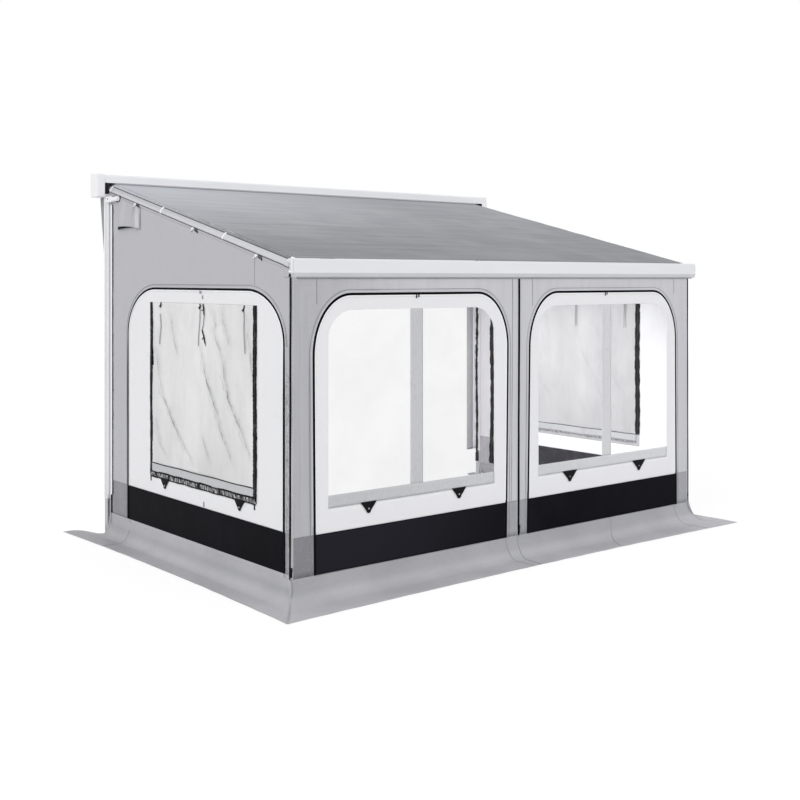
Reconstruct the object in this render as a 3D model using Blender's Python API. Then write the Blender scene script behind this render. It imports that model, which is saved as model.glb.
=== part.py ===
"""A caravan awning with a zip-in room, pitched for use, at its real size.

The cassette fixes to the vehicle at +Y. Its roof runs forward over two folding arms to the lead
rail, which stands on two telescopic legs. Two rafters, cloth walls with arched zip-out panels,
rear poles and a skirt close the room. X runs along the vehicle, Z is up, and the ground is Z = 0.
"""
import math

import bmesh
import bpy
import numpy as np
from mathutils import Matrix, Vector

for old_object in list(bpy.data.objects):
    bpy.data.objects.remove(old_object, do_unlink=True)

MM = 0.001

# Clearances
SEAM_GAP = 0.4 * MM        # between two pieces of cloth that meet at a seam or a zip
SEAT_GAP = 0.3 * MM        # between a rigid piece and what carries it
SLIDE_GAP = 0.5 * MM       # around a tube that slides in another
FOLD_GAP = 2.5 * MM        # around the eye of a folding arm
OVERRUN = 20 * MM          # how far a cutter runs past what it cuts

# Room
ROOM_LENGTH = 4070 * MM    # side wall to side wall
ROOM_DEPTH = 2575 * MM     # front wall to the rear edge of the side walls
SEAM_HEIGHT = 160 * MM     # where the walls end and the skirt begins
CLOTH = 4 * MM             # wall, roof and skirt cloth, with its coating
FILM = 1.5 * MM            # clear window film
TAPE = 2 * MM              # sewn strips and zip tapes
ROUND_STEPS = 12           # points along a quarter of an arch
SMALL_STEPS = 5            # points along a quarter of a small rounding
ROUND_SIDES = 24           # sides of a pin, a bore or a pivot's disc
STADIUM_STEPS = 10         # points along half a turn of an arm's end
SHARP_ANGLE = 35           # degrees between faces that are shaded apart
BEVEL_ANGLE = 50           # degrees of the edges that are bevelled
BEVEL_STEPS = 2
ZIP_WIDTH = 12 * MM
CORNER_ZIP = 12 * MM

# Skirt
SKIRT_FRONT_CORNER = 325 * MM
SKIRT_FRONT_MIDDLE = 280 * MM
SKIRT_SIDE_CORNER = 240 * MM
SKIRT_SIDE_MIDDLE = 205 * MM
SKIRT_REAR_TIP = 365 * MM  # how far the side skirts run on behind the walls
SKIRT_FLAT_SHARE = 0.42    # share of the reach that lies flat on the ground
SKIRT_SWEEP_SHARE = 1.3    # how late the rear edge curves back, clear of the pole's foot
SKIRT_BEND_SHARE = 1.5      # power of the share that the skirt has run out
SKIRT_COLUMNS = 28
SKIRT_ROWS = 9

# Lead rail
RAIL_BOTTOM = 2070 * MM
RAIL_HEIGHT = 120 * MM
RAIL_DEPTH = 70 * MM
RAIL_PROUD = 12 * MM       # how far its face stands in front of the wall
RAIL_CHAMFER = 28 * MM     # height of the slanted lower edge
RAIL_ROUND = 9 * MM
RAIL_WALL = 3 * MM
RAIL_LIP = 55 * MM         # height of the inner lip beside the leg channel
LEG_CHANNEL = 42.5 * MM    # clear width of the channel that the legs fold into
RAIL_OVERHANG = 45 * MM    # past the side walls, with its caps
RAIL_CAP = 15 * MM
RAIL_SHIFT = 46 * MM        # the whole rail sits this much further right than the room

# Roof and rafters
ROOF_INSET = 50 * MM       # from the side wall in to the roof's edge
ROOF_RISE = 634 * MM       # from its front edge to where it meets the cassette's slot
ROOF_MEET = 20 * MM        # how far behind the cassette's face that is
ROOF_START = 12 * MM       # front edge on the rail, behind the wall's face
RAFTER_RADIUS = 25 * MM
RAFTER_DROP = 54 * MM      # its centre line below the roof's top face
RAFTER_SIDES = 20
RING_WIDTH = 9 * MM
RING_PROUD = 1.2 * MM
RING_DEPTH_SHARES = (0.323, 0.672)   # where the rings sit, as shares of the room's depth

# Cassette and roller
CASSETTE_BEHIND = 25 * MM   # its front face, behind the walls' rear edge
CASSETTE_DEPTH = 120 * MM
CASSETTE_BELOW = 104 * MM   # its underside, below where the roof meets it
CASSETTE_HEIGHT = 180 * MM
CASSETTE_WALL = 3 * MM
CASSETTE_ROUND = 14 * MM
CASSETTE_LIP = 68 * MM      # height of the front lip above the slot
CASSETTE_SILL = 24 * MM     # height of the sill below the slot
CASSETTE_OVERHANG = 108 * MM  # past the side walls, with its caps
CASSETTE_CAP = 70 * MM
CAP_PROUD = 5 * MM
CAP_BEVEL = 5 * MM
ROLLER_BEHIND = 65 * MM     # its axis, behind the cassette's face
ROLLER_RADIUS = 36 * MM
ROLLER_SIDES = 32
ROLL_INSET = 8 * MM         # from the roof's edge to the end of its roll
SPINDLE_RADIUS = 10 * MM
SPINDLE_DEPTH = 30 * MM     # how deep a spindle sits in its cap
WINCH_RADIUS = 6 * MM
WINCH_DEPTH = 40 * MM
WINCH_DROP = 65 * MM        # the eye's centre below the cap
EYE_RADIUS = 18 * MM
EYE_WALL = 7 * MM

# Folding arms
ARM_DROP = 58 * MM          # their middle plane below the roof's top face
ARM_WIDTH = 46 * MM
ARM_HEIGHT = 34 * MM
ARM_TONGUE = 18 * MM        # height of an eye that sits in a fork
ARM_PIN_RADIUS = 7 * MM
PIN_HEAD = 3 * MM           # how far a pin's head stands out, and is wider than the pin
SHOULDER_INSET = 315 * MM   # shoulders and wrists, from the side walls
WRIST_INSET = 435 * MM
SHOULDER_AHEAD = 45 * MM    # in front of the cassette's face
WRIST_START = 105 * MM
ELBOW_IN = 350 * MM         # how far the elbow stands in from the straight line
ELBOW_SHARE = 0.505         # where it stands along that line
SHOULDER_REACH = 70 * MM    # from its pivot back to its end
SHOULDER_FOOT = 33 * MM     # height of the foot inside the cassette
SHOULDER_FOOT_DEPTH = 78 * MM

# Support legs
LEG_INSET = 85 * MM         # from the side wall to the leg
LEG_RADIUS = 15 * MM
LEG_WALL = 1.5 * MM
LEG_SIDES = 20
LEG_OUTER = 1150 * MM
LEG_OVERLAP = 192 * MM      # of the two tubes when the leg is drawn out
LEG_HEAD_RADIUS = 17 * MM
LEG_PIVOT_RISE = 38 * MM    # the pivot above the rail's underside
ANKLE_HEIGHT = 30 * MM
ANKLE_RADIUS = 10 * MM
ANKLE_TONGUE = 10 * MM
FOOT_LENGTH = 78 * MM
FOOT_WIDTH = 38 * MM
FOOT_PLATE = 6 * MM

# Front panels
FRONT_ARCH_INNER = 115 * MM  # from the middle of the awning to the arch
FRONT_COLUMN = 175 * MM      # from the arch to the corner
FRONT_HEAD = 110 * MM        # from the arch up to the rail
FRONT_ARCH_ROUND = (300 * MM, 400 * MM)
FRONT_BORDERS = {"left": (140 * MM, 117 * MM), "right": (91 * MM, 116 * MM)}  # inner, outer
FRONT_BORDER_TOP = 102 * MM
FRONT_WINDOW_BOTTOM = 575 * MM
FRONT_WINDOW_ROUND = (200 * MM, 190 * MM)
SQUARE_ROUND = (8 * MM, 8 * MM)
HEM_HEIGHT = 82 * MM        # grey strip along a front window's foot
MULLION_WIDTH = 112 * MM
MULLION_SHARES = {"left": 0.497, "right": 0.504}   # of the window's width, from its inner edge
FRONT_TAB_SHARES = {"left": (0.2345, 0.7796), "right": (0.2243, 0.7627)}
TAB_WIDTH = 140 * MM
TAB_DROP = 76 * MM
TAB_TIP = 14 * MM

# Side panels
SIDE_COLUMN_FRONT = 122 * MM  # from the front wall's face to the arch
SIDE_COLUMN_REAR = 265 * MM   # from the arch to the rear edge
SIDE_HEAD = 82 * MM           # from the arch up to the level of the rail's underside
SIDE_SHIFTS = {"left": -50 * MM, "right": 70 * MM}   # how much further back the panel sits
SIDE_ARCH_ROUND = (440 * MM, 350 * MM)
SIDE_BORDER_FRONT = 328 * MM
SIDE_BORDER_REAR = 365 * MM
SIDE_BORDER_TOP = 103 * MM
SIDE_WINDOW_BOTTOM = 570 * MM
SIDE_ZIP_WIDTH = 34 * MM
SIDE_HEM = 44 * MM
SIDE_TAB_SHARES = (0.139, 0.8415)
SIDE_TAB_WIDTH = 150 * MM
SIDE_TAB_DROP = 50 * MM

# Rear poles, their brackets and the foam seals behind them
POLE_ACROSS = 40 * MM       # outer size along X
POLE_DEPTH = 61 * MM
POLE_PROUD = 27 * MM        # how far it stands outside the side wall
POLE_WALL = 4.5 * MM
POLE_GROOVE = 2 * MM
POLE_START = 4 * MM         # behind the side wall's edge
POLE_BOTTOM = 300 * MM
POLE_FOOT_OVERLAP = 320 * MM
BRACKET_HEIGHT = 46 * MM
BRACKET_REACH = 85 * MM     # in front of the wall's rear edge
BRACKET_ROUND = 20 * MM
SEAL_LENGTH = 470 * MM
SEAL_TIP = 4 * MM

# Loose flap on the left side wall
FLAP_INSET = 140 * MM       # from the wall's rear edge
FLAP_WIDTH = 378 * MM
FLAP_FALL = 288 * MM        # its lower corners below the cassette's underside
FLAP_SAG = 14 * MM
FLAP_BULGE = 16 * MM
FLAP_CLOTH = 2.5 * MM
FLAP_STEPS = 8

# Zip sliders
SLIDER_WIDTH = 12 * MM
SLIDER_HEIGHT = 30 * MM
SLIDER_DEPTH = 6 * MM
PULL_WIDTH = 7 * MM
PULL_LENGTH = 34 * MM
SLIDER_LIFT = 12 * MM       # the pull's end above the seam

# Places that follow from the sizes
OVERALL_DEPTH = SKIRT_FRONT_CORNER + ROOM_DEPTH + SKIRT_REAR_TIP
FRONT_Y = SKIRT_FRONT_CORNER - OVERALL_DEPTH / 2
REAR_Y = FRONT_Y + ROOM_DEPTH
HALF_LENGTH = ROOM_LENGTH / 2
RAIL_TOP = RAIL_BOTTOM + RAIL_HEIGHT
RAIL_REAR = FRONT_Y - RAIL_PROUD + RAIL_DEPTH
RAIL_HALF = HALF_LENGTH + RAIL_OVERHANG
CASSETTE_Y = REAR_Y + CASSETTE_BEHIND
CASSETTE_BOTTOM = RAIL_TOP + ROOF_RISE - CASSETTE_BELOW
ROOF_HALF_WIDTH = HALF_LENGTH - ROOF_INSET
ROOF_FRONT = FRONT_Y + ROOF_START
ROOF_RUN = CASSETTE_Y + ROOF_MEET - ROOF_FRONT
SLOPE = math.atan2(ROOF_RISE, ROOF_RUN)
COS_SLOPE = math.cos(SLOPE)
CASSETTE_REAR = CASSETTE_Y + CASSETTE_DEPTH
CASSETTE_TOP = CASSETTE_BOTTOM + CASSETTE_HEIGHT
CASSETTE_HALF = HALF_LENGTH + CASSETTE_OVERHANG - CASSETTE_CAP
LEG_X = HALF_LENGTH - LEG_INSET
LEG_Y = RAIL_REAR - RAIL_WALL - LEG_CHANNEL / 2
LEG_PIVOT_Z = RAIL_BOTTOM + LEG_PIVOT_RISE
LEG_INNER_TOP = LEG_PIVOT_Z - LEG_OUTER + LEG_OVERLAP
FRONT_ARCH_OUTER = HALF_LENGTH - FRONT_COLUMN
FRONT_ARCH_TOP = RAIL_BOTTOM - FRONT_HEAD
FRONT_WINDOW_TOP = FRONT_ARCH_TOP - FRONT_BORDER_TOP
SIDE_ARCH_TOP = RAIL_BOTTOM - SIDE_HEAD
SIDE_WINDOW_TOP = SIDE_ARCH_TOP - SIDE_BORDER_TOP
POLE_REAR = REAR_Y + POLE_START + POLE_DEPTH
BRACKET_TOP = CASSETTE_BOTTOM - SEAT_GAP
BRACKET_BOTTOM = BRACKET_TOP - BRACKET_HEIGHT


def roof_top(y):
    """Height of the roof's top face."""
    start = RAIL_TOP + SEAM_GAP + CLOTH / COS_SLOPE
    return start + (y - ROOF_FRONT) * ROOF_RISE / ROOF_RUN


def rafter_line(y):
    """Height of a rafter's centre line."""
    return roof_top(y) - RAFTER_DROP


# Finishes
FINISHES = {
    "white_aluminium": ((0.80, 0.80, 0.82), 0.35, 0.1),
    "white_plastic": ((0.82, 0.82, 0.83), 0.4, 0.0),
    "bare_aluminium": ((0.62, 0.63, 0.65), 0.35, 0.9),
    "roof_cloth": ((0.33, 0.34, 0.36), 0.6, 0.0),
    "wall_cloth": ((0.50, 0.50, 0.54), 0.75, 0.0),
    "panel_cloth": ((0.82, 0.82, 0.84), 0.6, 0.0),
    "skirt_cloth": ((0.42, 0.42, 0.44), 0.6, 0.0),
    "grey_strip": ((0.40, 0.41, 0.43), 0.7, 0.0),
    "black_tape": ((0.02, 0.02, 0.025), 0.6, 0.0),
    "black_plastic": ((0.02, 0.02, 0.02), 0.4, 0.0),
    "window_film": ((0.85, 0.87, 0.87), 0.1, 0.0),
    "grey_foam": ((0.45, 0.46, 0.47), 0.9, 0.0),
}


def finish(name):
    """The Principled material of that name."""
    material = bpy.data.materials.get(name)
    if material is None:
        colour, roughness, metallic = FINISHES[name]
        material = bpy.data.materials.new(name)
        material.use_nodes = True
        shader = material.node_tree.nodes["Principled BSDF"]
        shader.inputs["Base Color"].default_value = (*colour, 1)
        shader.inputs["Roughness"].default_value = roughness
        shader.inputs["Metallic"].default_value = metallic
    return material


# Which world axes an outline's two coordinates run along, and which one it is extruded along
OUTLINE_AXES = {"X": (1, 2, 0), "Y": (0, 2, 1), "Z": (0, 1, 2)}


def lifted(outline, axis, level):
    """The outline's points in space, on the plane that stands at level along axis."""
    first, second, normal = OUTLINE_AXES[axis]
    points = np.zeros((len(outline), 3))
    points[:, (first, second)] = outline
    points[:, normal] = level
    return points


def add_piece(name, points, faces, finish_name, smooth=False):
    """One object from points and faces, with its faces turned outwards."""
    shape = bmesh.new()
    corners = [shape.verts.new(tuple(point)) for point in points]
    for face in faces:
        shape.faces.new([corners[index] for index in face])
    bmesh.ops.recalc_face_normals(shape, faces=shape.faces)
    mesh = bpy.data.meshes.new(name)
    shape.to_mesh(mesh)
    shape.free()
    if smooth:
        mesh.shade_smooth()
        mesh.set_sharp_from_angle(angle=math.radians(SHARP_ANGLE))
    mesh.materials.append(finish(finish_name))
    piece = bpy.data.objects.new(name, mesh)
    bpy.context.scene.collection.objects.link(piece)
    return piece


def plate(name, outline, axis, start, end, finish_name, smooth=False):
    """The outline, extruded along axis from start to end."""
    count = len(outline)
    points = np.vstack([lifted(outline, axis, start), lifted(outline, axis, end)])
    sides = [(i, (i + 1) % count, count + (i + 1) % count, count + i) for i in range(count)]
    caps = [tuple(range(count)), tuple(range(2 * count - 1, count - 1, -1))]
    return add_piece(name, points, sides + caps, finish_name, smooth)


def pierced_plate(name, outer, inner, axis, start, end, finish_name, smooth=False):
    """A plate with a hole: both outlines have as many points, matched one to one."""
    count = len(outer)
    loops = [(outer, start), (outer, end), (inner, end), (inner, start)]
    points = np.vstack([lifted(outline, axis, level) for outline, level in loops])
    faces = []
    for loop in range(4):
        here, there = loop * count, (loop + 1) % 4 * count
        for i in range(count):
            after = (i + 1) % count
            faces.append((here + i, here + after, there + after, there + i))
    return add_piece(name, points, faces, finish_name, smooth)


def box(name, low, high, finish_name):
    """A block between two opposite corners."""
    outline = [(low[0], low[1]), (high[0], low[1]), (high[0], high[1]), (low[0], high[1])]
    return plate(name, outline, "Z", low[2], high[2], finish_name)


def sheet(name, under, over, finish_name):
    """A closed cloth between two grids of points, each (rows, columns, 3)."""
    rows, columns = under.shape[:2]
    layer = rows * columns
    points = np.vstack([under.reshape(-1, 3), over.reshape(-1, 3)])
    faces = []
    for row in range(rows - 1):
        for column in range(columns - 1):
            at = row * columns + column
            ring = (at, at + 1, at + 1 + columns, at + columns)
            faces += [ring[::-1], tuple(layer + index for index in ring)]
    edge = [(0, column) for column in range(columns)]
    edge += [(row, columns - 1) for row in range(1, rows)]
    edge += [(rows - 1, column) for column in range(columns - 2, -1, -1)]
    edge += [(row, 0) for row in range(rows - 2, 0, -1)]
    rim = [row * columns + column for row, column in edge]
    for here, after in zip(rim, rim[1:] + rim[:1]):
        faces.append((here, after, layer + after, layer + here))
    return add_piece(name, points, faces, finish_name, True)


def turned(name, profile, finish_name, sides):
    """The profile, (radius, height) from its foot up, turned about Z and closed at both ends."""
    angles = np.arange(sides) / sides * math.tau
    rings = [[(radius * math.cos(a), radius * math.sin(a), height) for a in angles]
             for radius, height in profile]
    faces = []
    for ring in range(len(rings) - 1):
        for i in range(sides):
            here, after = ring * sides + i, ring * sides + (i + 1) % sides
            faces.append((here, after, after + sides, here + sides))
    last = (len(rings) - 1) * sides
    faces += [tuple(range(sides - 1, -1, -1)), tuple(range(last, last + sides))]
    return add_piece(name, np.vstack(rings), faces, finish_name, True)


def apply_modifiers(piece):
    """Replaces the piece's mesh with the one that its modifiers make."""
    bpy.context.view_layer.update()
    evaluated = piece.evaluated_get(bpy.context.evaluated_depsgraph_get())
    result = bpy.data.meshes.new_from_object(evaluated)
    piece.modifiers.clear()
    piece.data = result
    return piece


def join(piece, tool, operation):
    """Applies a Boolean of piece with tool, and removes the tool."""
    modifier = piece.modifiers.new(operation, "BOOLEAN")
    modifier.object = tool
    modifier.operation = operation
    modifier.solver = "EXACT"
    apply_modifiers(piece)
    bpy.data.objects.remove(tool, do_unlink=True)
    return piece


def cut(piece, tool):
    return join(piece, tool, "DIFFERENCE")


def fuse(piece, tool):
    return join(piece, tool, "UNION")


def turn(piece, matrix):
    """Moves the mesh itself by the matrix."""
    piece.data.transform(matrix)
    piece.data.update()
    return piece


def set_origin(piece, point):
    """Puts the object's origin at point, with the mesh where it was."""
    piece.data.transform(Matrix.Translation(-Vector(point)))
    piece.location = point
    return piece


def soften(piece, width):
    """Bevels the piece's sharp edges."""
    modifier = piece.modifiers.new("edges", "BEVEL")
    modifier.width = width
    modifier.segments = BEVEL_STEPS
    modifier.limit_method = "ANGLE"
    modifier.angle_limit = math.radians(BEVEL_ANGLE)
    return apply_modifiers(piece)


def arc(centre, radii, start, end, steps):
    """Points on an ellipse from one angle to another, in degrees."""
    angles = np.radians(np.linspace(start, end, steps + 1))
    return [(centre[0] + radii[0] * math.cos(a), centre[1] + radii[1] * math.sin(a))
            for a in angles]


def arch(low, high, bottom, top, rounds):
    """An arch's outline, from the foot of its low side over the top to the foot of the other."""
    across, up = rounds
    outline = [(low, bottom)]
    outline += arc((low + across, top - up), rounds, 180, 90, ROUND_STEPS)
    outline += arc((high - across, top - up), rounds, 90, 0, ROUND_STEPS)
    return outline + [(high, bottom)]


def circle(centre, radius, sides=ROUND_SIDES):
    """A closed circle's outline."""
    return arc(centre, (radius, radius), 0, 360, sides)[:-1]


def stadium(start, end, radius):
    """Two half circles about two points, joined by straight sides."""
    lead = math.degrees(math.atan2(end[1] - start[1], end[0] - start[0]))
    radii = (radius, radius)
    return (arc(start, radii, lead + 90, lead + 270, STADIUM_STEPS)
            + arc(end, radii, lead - 90, lead + 90, STADIUM_STEPS))


def mirrored(points, side):
    """Points for the left side as they are given, and for the right with X turned round."""
    return [(side * u, v) for u, v in points]


SIDES = {"left": -1, "right": 1}


# Lead rail

def rail_outline(hollow):
    """The rail's section from the side: (Y, Z), with its leg channel open below."""
    face = FRONT_Y - RAIL_PROUD
    back = RAIL_REAR
    rounded = arc((face + RAIL_ROUND, RAIL_TOP - RAIL_ROUND), (RAIL_ROUND, RAIL_ROUND), 180, 90,
                  SMALL_STEPS)
    slant = RAIL_ROUND + RAIL_WALL
    outside = [(face, RAIL_BOTTOM + RAIL_CHAMFER)] + rounded
    outside += [(back - RAIL_CHAMFER, RAIL_TOP), (back, RAIL_TOP - slant)]
    foot = [(back, RAIL_BOTTOM)]
    sill = [(FRONT_Y, RAIL_BOTTOM)]
    if not hollow:
        return outside + foot + sill
    ceiling = RAIL_TOP - slant - 2 * RAIL_ROUND - RAIL_WALL
    channel_rear = back - RAIL_WALL
    channel_front = channel_rear - LEG_CHANNEL
    inside = [(channel_rear, RAIL_BOTTOM), (channel_rear, ceiling), (face + RAIL_WALL, ceiling)]
    inside += [(face + RAIL_WALL, RAIL_BOTTOM + RAIL_CHAMFER + RAIL_WALL)]
    inside += [(FRONT_Y + RAIL_WALL, RAIL_BOTTOM + RAIL_WALL)]
    inside += [(channel_front - RAIL_WALL, RAIL_BOTTOM + RAIL_WALL)]
    inside += [(channel_front - RAIL_WALL, RAIL_BOTTOM + RAIL_LIP)]
    inside += [(channel_front, RAIL_BOTTOM + RAIL_LIP), (channel_front, RAIL_BOTTOM)]
    return outside + foot + inside + sill


def make_rail():
    end = RAIL_HALF - RAIL_CAP
    plate("lead_rail", rail_outline(True), "X", RAIL_SHIFT - end, RAIL_SHIFT + end,
          "white_aluminium", True)
    for side, sign in SIDES.items():
        start, stop = sorted((RAIL_SHIFT + sign * (end + SEAT_GAP), RAIL_SHIFT + sign * RAIL_HALF))
        cap = plate(f"rail_cap_{side}", rail_outline(False), "X", start, stop, "white_plastic")
        soften(cap, RAIL_WALL)


# Cassette, roller and winch

def cassette_outline(grow):
    """The cassette's outer section, (Y, Z), from the sill over the top and round to the sill."""
    front, rear = CASSETTE_Y - grow, CASSETTE_REAR
    bottom, top = CASSETTE_BOTTOM - grow, CASSETTE_TOP + grow
    radius = CASSETTE_ROUND
    outline = arc((front + radius, top - radius), (radius, radius), 180, 90,
                  SMALL_STEPS)
    outline += [(rear, top), (rear, bottom)]
    return outline + arc((front + radius, bottom + radius), (radius, radius), 270, 180,
                         SMALL_STEPS)


def make_cassette():
    outer = cassette_outline(0)
    wall = CASSETTE_WALL
    front, rear = CASSETTE_Y, CASSETTE_REAR
    slot_top = CASSETTE_TOP - CASSETTE_LIP
    slot_bottom = CASSETTE_BOTTOM + CASSETTE_SILL
    radius = CASSETTE_ROUND - wall
    centre_y = front + CASSETTE_ROUND
    inside = [(front, slot_bottom), (front + wall, slot_bottom)]
    inside += arc((centre_y, CASSETTE_BOTTOM + CASSETTE_ROUND), (radius, radius), 180, 270,
                  SMALL_STEPS)
    inside += [(rear - wall, CASSETTE_BOTTOM + wall), (rear - wall, CASSETTE_TOP - wall)]
    inside += arc((centre_y, CASSETTE_TOP - CASSETTE_ROUND), (radius, radius), 90, 180,
                  SMALL_STEPS)
    inside += [(front + wall, slot_top), (front, slot_top)]
    plate("cassette_housing", outer + inside, "X", -CASSETTE_HALF, CASSETTE_HALF,
          "white_aluminium", True)


def roller_centre():
    """The roller sits where the roof's underside is tangent to its roll of cloth."""
    y = CASSETTE_Y + ROLLER_BEHIND
    underside = roof_top(y) - CLOTH / COS_SLOPE
    return y, underside - (ROLLER_RADIUS + SEAT_GAP) / COS_SLOPE


def make_cassette_caps():
    y, z = roller_centre()
    for side, sign in SIDES.items():
        start, stop = sorted((sign * (CASSETTE_HALF + SEAT_GAP),
                              sign * (CASSETTE_HALF + CASSETTE_CAP)))
        cap = plate(f"cassette_cap_{side}", cassette_outline(CAP_PROUD), "X", start, stop,
                    "white_plastic")
        soften(cap, CAP_BEVEL)
        bore = turned("bore", bore_profile(SPINDLE_RADIUS + SEAT_GAP, SPINDLE_DEPTH + OVERRUN),
                      "white_plastic", ROLLER_SIDES)
        turn(bore, Matrix.Rotation(math.pi / 2, 4, "Y"))
        inner_face = sign * CASSETTE_HALF
        middle = inner_face + sign * (SPINDLE_DEPTH + SEAT_GAP - OVERRUN) / 2
        turn(bore, Matrix.Translation((middle, y, z)))
        cut(cap, bore)
        if side == "right":
            winch_bore = turned("bore", bore_profile(WINCH_RADIUS + SEAT_GAP,
                                                     WINCH_DEPTH + OVERRUN),
                                "white_plastic", LEG_SIDES)
            height = CASSETTE_BOTTOM - CAP_PROUD + (WINCH_DEPTH + SEAT_GAP - OVERRUN) / 2
            turn(winch_bore, Matrix.Translation((winch_x(), winch_y(), height)))
            cut(cap, winch_bore)


def bore_profile(radius, length):
    """A plain cylinder about its own middle."""
    return [(radius, -length / 2), (radius, length / 2)]


def make_roller():
    y, z = roller_centre()
    reach = CASSETTE_HALF + SPINDLE_DEPTH
    roll = ROOF_HALF_WIDTH - ROLL_INSET
    profile = [(SPINDLE_RADIUS, -reach), (SPINDLE_RADIUS, -roll), (ROLLER_RADIUS, -roll),
               (ROLLER_RADIUS, roll), (SPINDLE_RADIUS, roll), (SPINDLE_RADIUS, reach)]
    roller = turned("roller_tube", profile, "roof_cloth", ROLLER_SIDES)
    turn(roller, Matrix.Rotation(math.pi / 2, 4, "Y"))
    roller.location = (0, y, z)


def winch_x():
    return CASSETTE_HALF + CASSETTE_CAP / 2


def winch_y():
    return CASSETTE_Y + CASSETTE_DEPTH / 2


def make_winch():
    """The crank's eye on its shaft, which runs up into the gearbox in the right cap."""
    top = CASSETTE_BOTTOM - CAP_PROUD + WINCH_DEPTH
    eye_z = CASSETTE_BOTTOM - CAP_PROUD - WINCH_DROP
    low = eye_z + EYE_RADIUS - EYE_WALL / 2
    shaft = turned("winch_eye", [(WINCH_RADIUS, low), (WINCH_RADIUS, top)], "bare_aluminium",
                   LEG_SIDES)
    ring = pierced_plate("ring", circle((0, eye_z), EYE_RADIUS),
                         circle((0, eye_z), EYE_RADIUS - EYE_WALL),
                         "Y", -EYE_WALL / 2, EYE_WALL / 2, "bare_aluminium")
    fuse(shaft, ring)
    shaft.location = (winch_x(), winch_y(), 0)


# Roof and rafters

def make_roof():
    """The roof runs straight from the top of its roll to the rail."""
    centre_y, _ = roller_centre()
    start, stop = ROOF_FRONT, centre_y - ROLLER_RADIUS * math.sin(SLOPE)
    thick = CLOTH / COS_SLOPE
    outline = [(start, roof_top(start) - thick), (stop, roof_top(stop) - thick),
               (stop, roof_top(stop)), (start, roof_top(start))]
    plate("roof_cloth", outline, "X", -ROOF_HALF_WIDTH, ROOF_HALF_WIDTH, "roof_cloth")


def make_rafters():
    """A rafter is a tube with upright ends and three raised rings."""
    start = RAIL_REAR + SEAT_GAP
    centre_y, _ = roller_centre()
    stop = centre_y - SPINDLE_RADIUS - 2 * FOLD_GAP
    stations = [(start, RAFTER_RADIUS)]
    ring = RAFTER_RADIUS + RING_PROUD
    for share in RING_DEPTH_SHARES:
        y = FRONT_Y + share * ROOM_DEPTH
        stations += [(y, RAFTER_RADIUS), (y, ring), (y + RING_WIDTH, ring),
                     (y + RING_WIDTH, RAFTER_RADIUS)]
    stations += [(stop - RING_WIDTH, RAFTER_RADIUS), (stop - RING_WIDTH, ring), (stop, ring)]
    angles = np.arange(RAFTER_SIDES) / RAFTER_SIDES * math.tau
    for side, sign in SIDES.items():
        x = sign * (HALF_LENGTH - RAFTER_RADIUS - RING_PROUD)
        points = [(x + radius * math.cos(a), y,
                   rafter_line(y) + radius * math.sin(a) / COS_SLOPE)
                  for y, radius in stations for a in angles]
        faces = []
        for station in range(len(stations) - 1):
            for i in range(RAFTER_SIDES):
                here = station * RAFTER_SIDES + i
                after = station * RAFTER_SIDES + (i + 1) % RAFTER_SIDES
                faces.append((here, after, after + RAFTER_SIDES, here + RAFTER_SIDES))
        last = (len(stations) - 1) * RAFTER_SIDES
        faces += [tuple(range(RAFTER_SIDES)), tuple(range(last, last + RAFTER_SIDES))[::-1]]
        add_piece(f"rafter_{side}", points, faces, "wall_cloth", True)


# Folding arms. They are drawn on the plane that lies under the roof: (X, up the slope), with
# height square to the roof.

def arm_plane():
    origin = (0, FRONT_Y, roof_top(FRONT_Y) - ARM_DROP)
    return Matrix.Translation(origin) @ Matrix.Rotation(SLOPE, 4, "X")


def arm_points(sign):
    """Shoulder, elbow and wrist of one arm."""
    across = HALF_LENGTH - SHOULDER_INSET, HALF_LENGTH - WRIST_INSET
    back = CASSETTE_Y - SHOULDER_AHEAD - FRONT_Y
    shoulder = Vector((sign * across[0], back / COS_SLOPE))
    wrist = Vector((sign * across[1], WRIST_START / COS_SLOPE))
    line = shoulder - wrist
    inwards = Vector((-line.y, line.x)).normalized() * sign * ELBOW_IN
    elbow = shoulder - line * ELBOW_SHARE + inwards
    return shoulder, elbow, wrist


def disc(centre, radius, low, high):
    """A round tool on the arm's plane."""
    tool = turned("tool", [(radius, low), (radius, high)], "bare_aluminium", ROUND_SIDES)
    return turn(tool, Matrix.Translation((centre[0], centre[1], 0)))


def cut_tongue(piece, centre):
    """Leaves a thin eye with a pin hole at the end of an arm."""
    clear = ARM_WIDTH / 2 + FOLD_GAP
    tall = ARM_HEIGHT / 2 + OVERRUN
    cut(piece, disc(centre, clear, ARM_TONGUE / 2, tall))
    cut(piece, disc(centre, clear, -tall, -ARM_TONGUE / 2))
    return cut(piece, disc(centre, ARM_PIN_RADIUS + SEAT_GAP, -tall, tall))


def cut_fork(piece, centre):
    """Opens a fork at the end of an arm and puts a headed pin through it."""
    clear = ARM_WIDTH / 2 + FOLD_GAP
    half = ARM_TONGUE / 2 + SEAT_GAP
    cut(piece, disc(centre, clear, -half, half))
    top = ARM_HEIGHT / 2
    fuse(piece, disc(centre, ARM_PIN_RADIUS, -top - PIN_HEAD, top + PIN_HEAD))
    for low in (-top - PIN_HEAD, top - PIN_HEAD):
        fuse(piece, disc(centre, ARM_PIN_RADIUS + PIN_HEAD, low, low + 2 * PIN_HEAD))
    return piece


def arm_link(name, start, end):
    """A straight arm between two pivots."""
    return plate(name, stadium(start, end, ARM_WIDTH / 2), "Z", -ARM_HEIGHT / 2, ARM_HEIGHT / 2,
                 "white_aluminium")


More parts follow.
